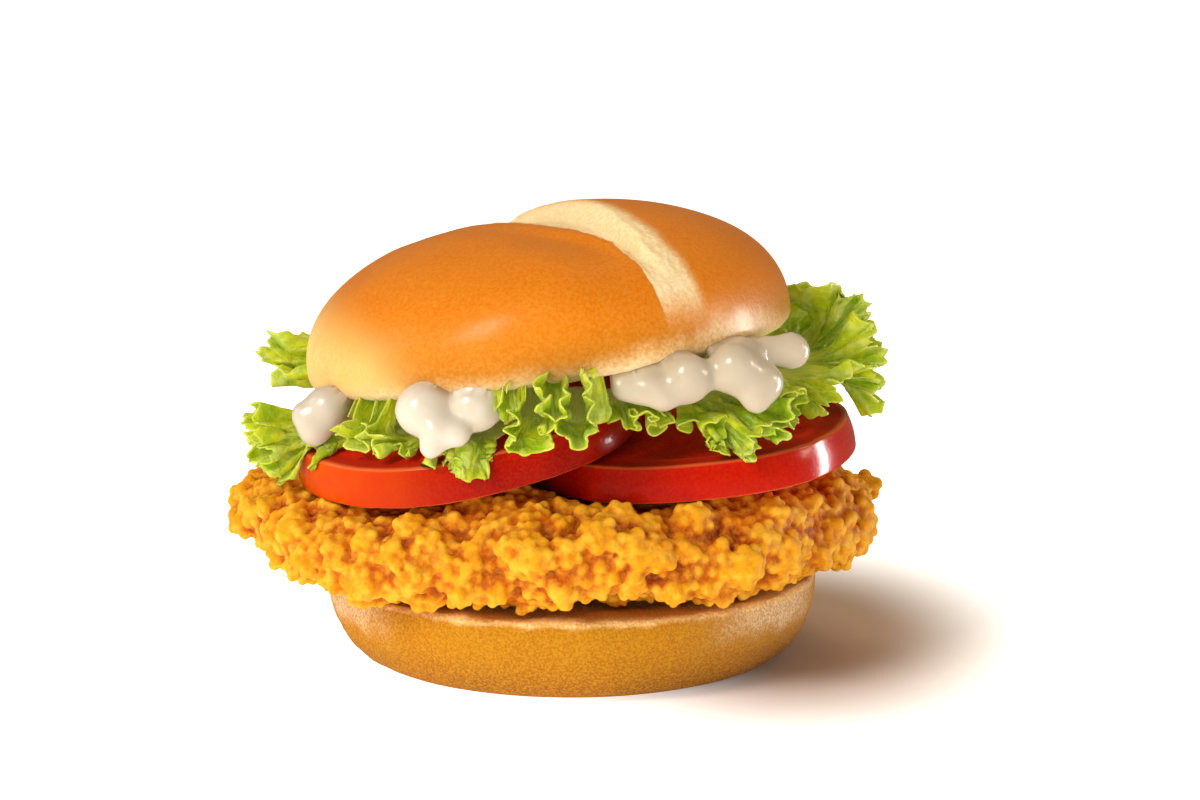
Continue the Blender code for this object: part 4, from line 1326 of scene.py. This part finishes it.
def write_leaf_map(mesh, grid, run, rows):
    """Stores how far each point is from the edge and past the rim, and a UV map of width and length."""
    along = summed(np.linalg.norm(np.diff(grid, axis=1), axis=2))
    side = np.minimum(run, run[-1] - run)[:, None]
    set_attribute(mesh, "edge", np.minimum(along[:, -1:] - along, side + 0 * along).ravel())
    set_attribute(mesh, "out", np.broadcast_to(rows - 1, along.shape).ravel())
    corner = np.empty(len(mesh.loops), np.int32)
    mesh.loops.foreach_get("vertex_index", corner)
    width = np.broadcast_to(run[:, None], along.shape)
    flat = np.stack((width.ravel(), along.ravel()), 1)[corner]
    mesh.uv_layers.new(name="leaf").data.foreach_set("uv", flat.astype(np.float32).ravel())


def leaf_mesh(leaf, below, above):
    shares, run = edge_columns(leaf)
    rows = np.concatenate((np.linspace(0, 1, INNER_ROWS), 1 + np.linspace(0, 1, OUTER_ROWS)[1:]))
    sheet = leaf_sheet(leaf, shares, rows, run)
    sheet += spread_grid(*laid_offsets(leaf, below, above), shares, rows)
    mesh = mesh_from(sheet.reshape(-1, 3), grid_faces(len(shares), len(rows)))
    points = ruffled(points_of(mesh), normals_of(mesh), run, rows, leaf.seed, leaf.ruffle)
    set_points(mesh, points)
    out = normals_of(mesh)
    for number, (size, height) in enumerate(BLISTERS):
        points = points + out * (height * ripple_field(points, size, leaf.seed + number * 20))[:, None]
    for _ in range(FINE_ROUNDS):
        points = around.clear(points, FINE_CLEARANCE, FINE_REACH)
    set_points(mesh, points)
    write_leaf_map(mesh, points.reshape(sheet.shape), run, rows)
    return with_modifiers(mesh, ("SOLIDIFY", {"thickness": LEAF_THICKNESS, "offset": 0}))


# %% [markdown]
# A lettuce leaf is bright yellow green and lets light through. Its ribs fan out pale and fork into a net of
# veins, the cut-like margin is a thin whitish line, and the folds look darker. The net is a Voronoi pattern
# on the leaf's own width and length, bent by noise. The leaf also glows faintly in its own green: a painted
# light.

# %% Paint the lettuce
RIB_PITCH, NET_PITCH = 0.0050, 0.0017
RIB_DRAW = (1.0, 0.40, 1.0)
BEND_SCALE, BEND_REACH = 400.0, 0.0018

leaf_paint = Paint(
    "curly_lettuce", Emission_Strength=0.08, Roughness=0.42, Coat_Weight=0.12, Coat_Roughness=0.2,
    Subsurface_Weight=0.35, Subsurface_Scale=0.0014, Subsurface_Radius=(0.85, 1.0, 0.15),
    Specular_IOR_Level=0.3,
)
on_leaf = leaf_paint.node("ShaderNodeTexCoord", out="UV")
bend_values = {"Vector": on_leaf, "Scale": BEND_SCALE, "Detail": 1.0}
bend = leaf_paint.node("ShaderNodeTexNoise", None, bend_values, "Color")
bent = leaf_paint.vector("ADD", on_leaf, leaf_paint.vector("MULTIPLY", bend, (BEND_REACH,) * 3))
ribs = leaf_paint.veins(RIB_PITCH, leaf_paint.vector("MULTIPLY", bent, RIB_DRAW), 0.01, 0.10)
net = leaf_paint.veins(NET_PITCH, bent, 0.02, 0.16)
drift = leaf_paint.patches(0.0035, place=on_leaf)
fleck = leaf_paint.patches(0.0009)
from_edge = leaf_paint.attribute("edge")
inward = 1 - leaf_paint.between(leaf_paint.attribute("out"), -0.15, 0.60)
green = leaf_paint.layers(
    "8caa06",
    (leaf_paint.patches(0.006, low=0.38, high=0.62), "c4cc0e"),
    (drift * 0.45, "628c08"),
    (fleck * 0.2, "c2d040"),
    (inward * 0.5, "ccd878"),
    ((1 - leaf_paint.between(from_edge, 0.0, 0.0035)) * 0.30, "bccc2c"),
    (ribs * 0.35, "d4dc80"),
    (net * 0.12, "c8d660"),
    ((1 - leaf_paint.between(from_edge, 0.0001, 0.0008)) * (0.08 + drift * 0.22), "dce070"),
)
# The faint glow in the leaf's own green is painted light.
leaf_paint.set(Base_Color=green, Emission_Color=green)
leaf_paint.bump(ribs * 0.5 + net * 0.25 + fleck * 0.15, 0.0005, 0.5)

# %% Lay all the leaves
above = [BVHTree.FromObject(crown, bpy.context.evaluated_depsgraph_get())]
below = list(around.trees[2:5])
for name, leaf in LEAVES.items():
    new_piece(
        name.replace("lettuce", "leaf"), leaf_mesh(leaf, below, above), leaf_paint.material, "lettuce", name,
    )
    below.append(around.trees[-1])
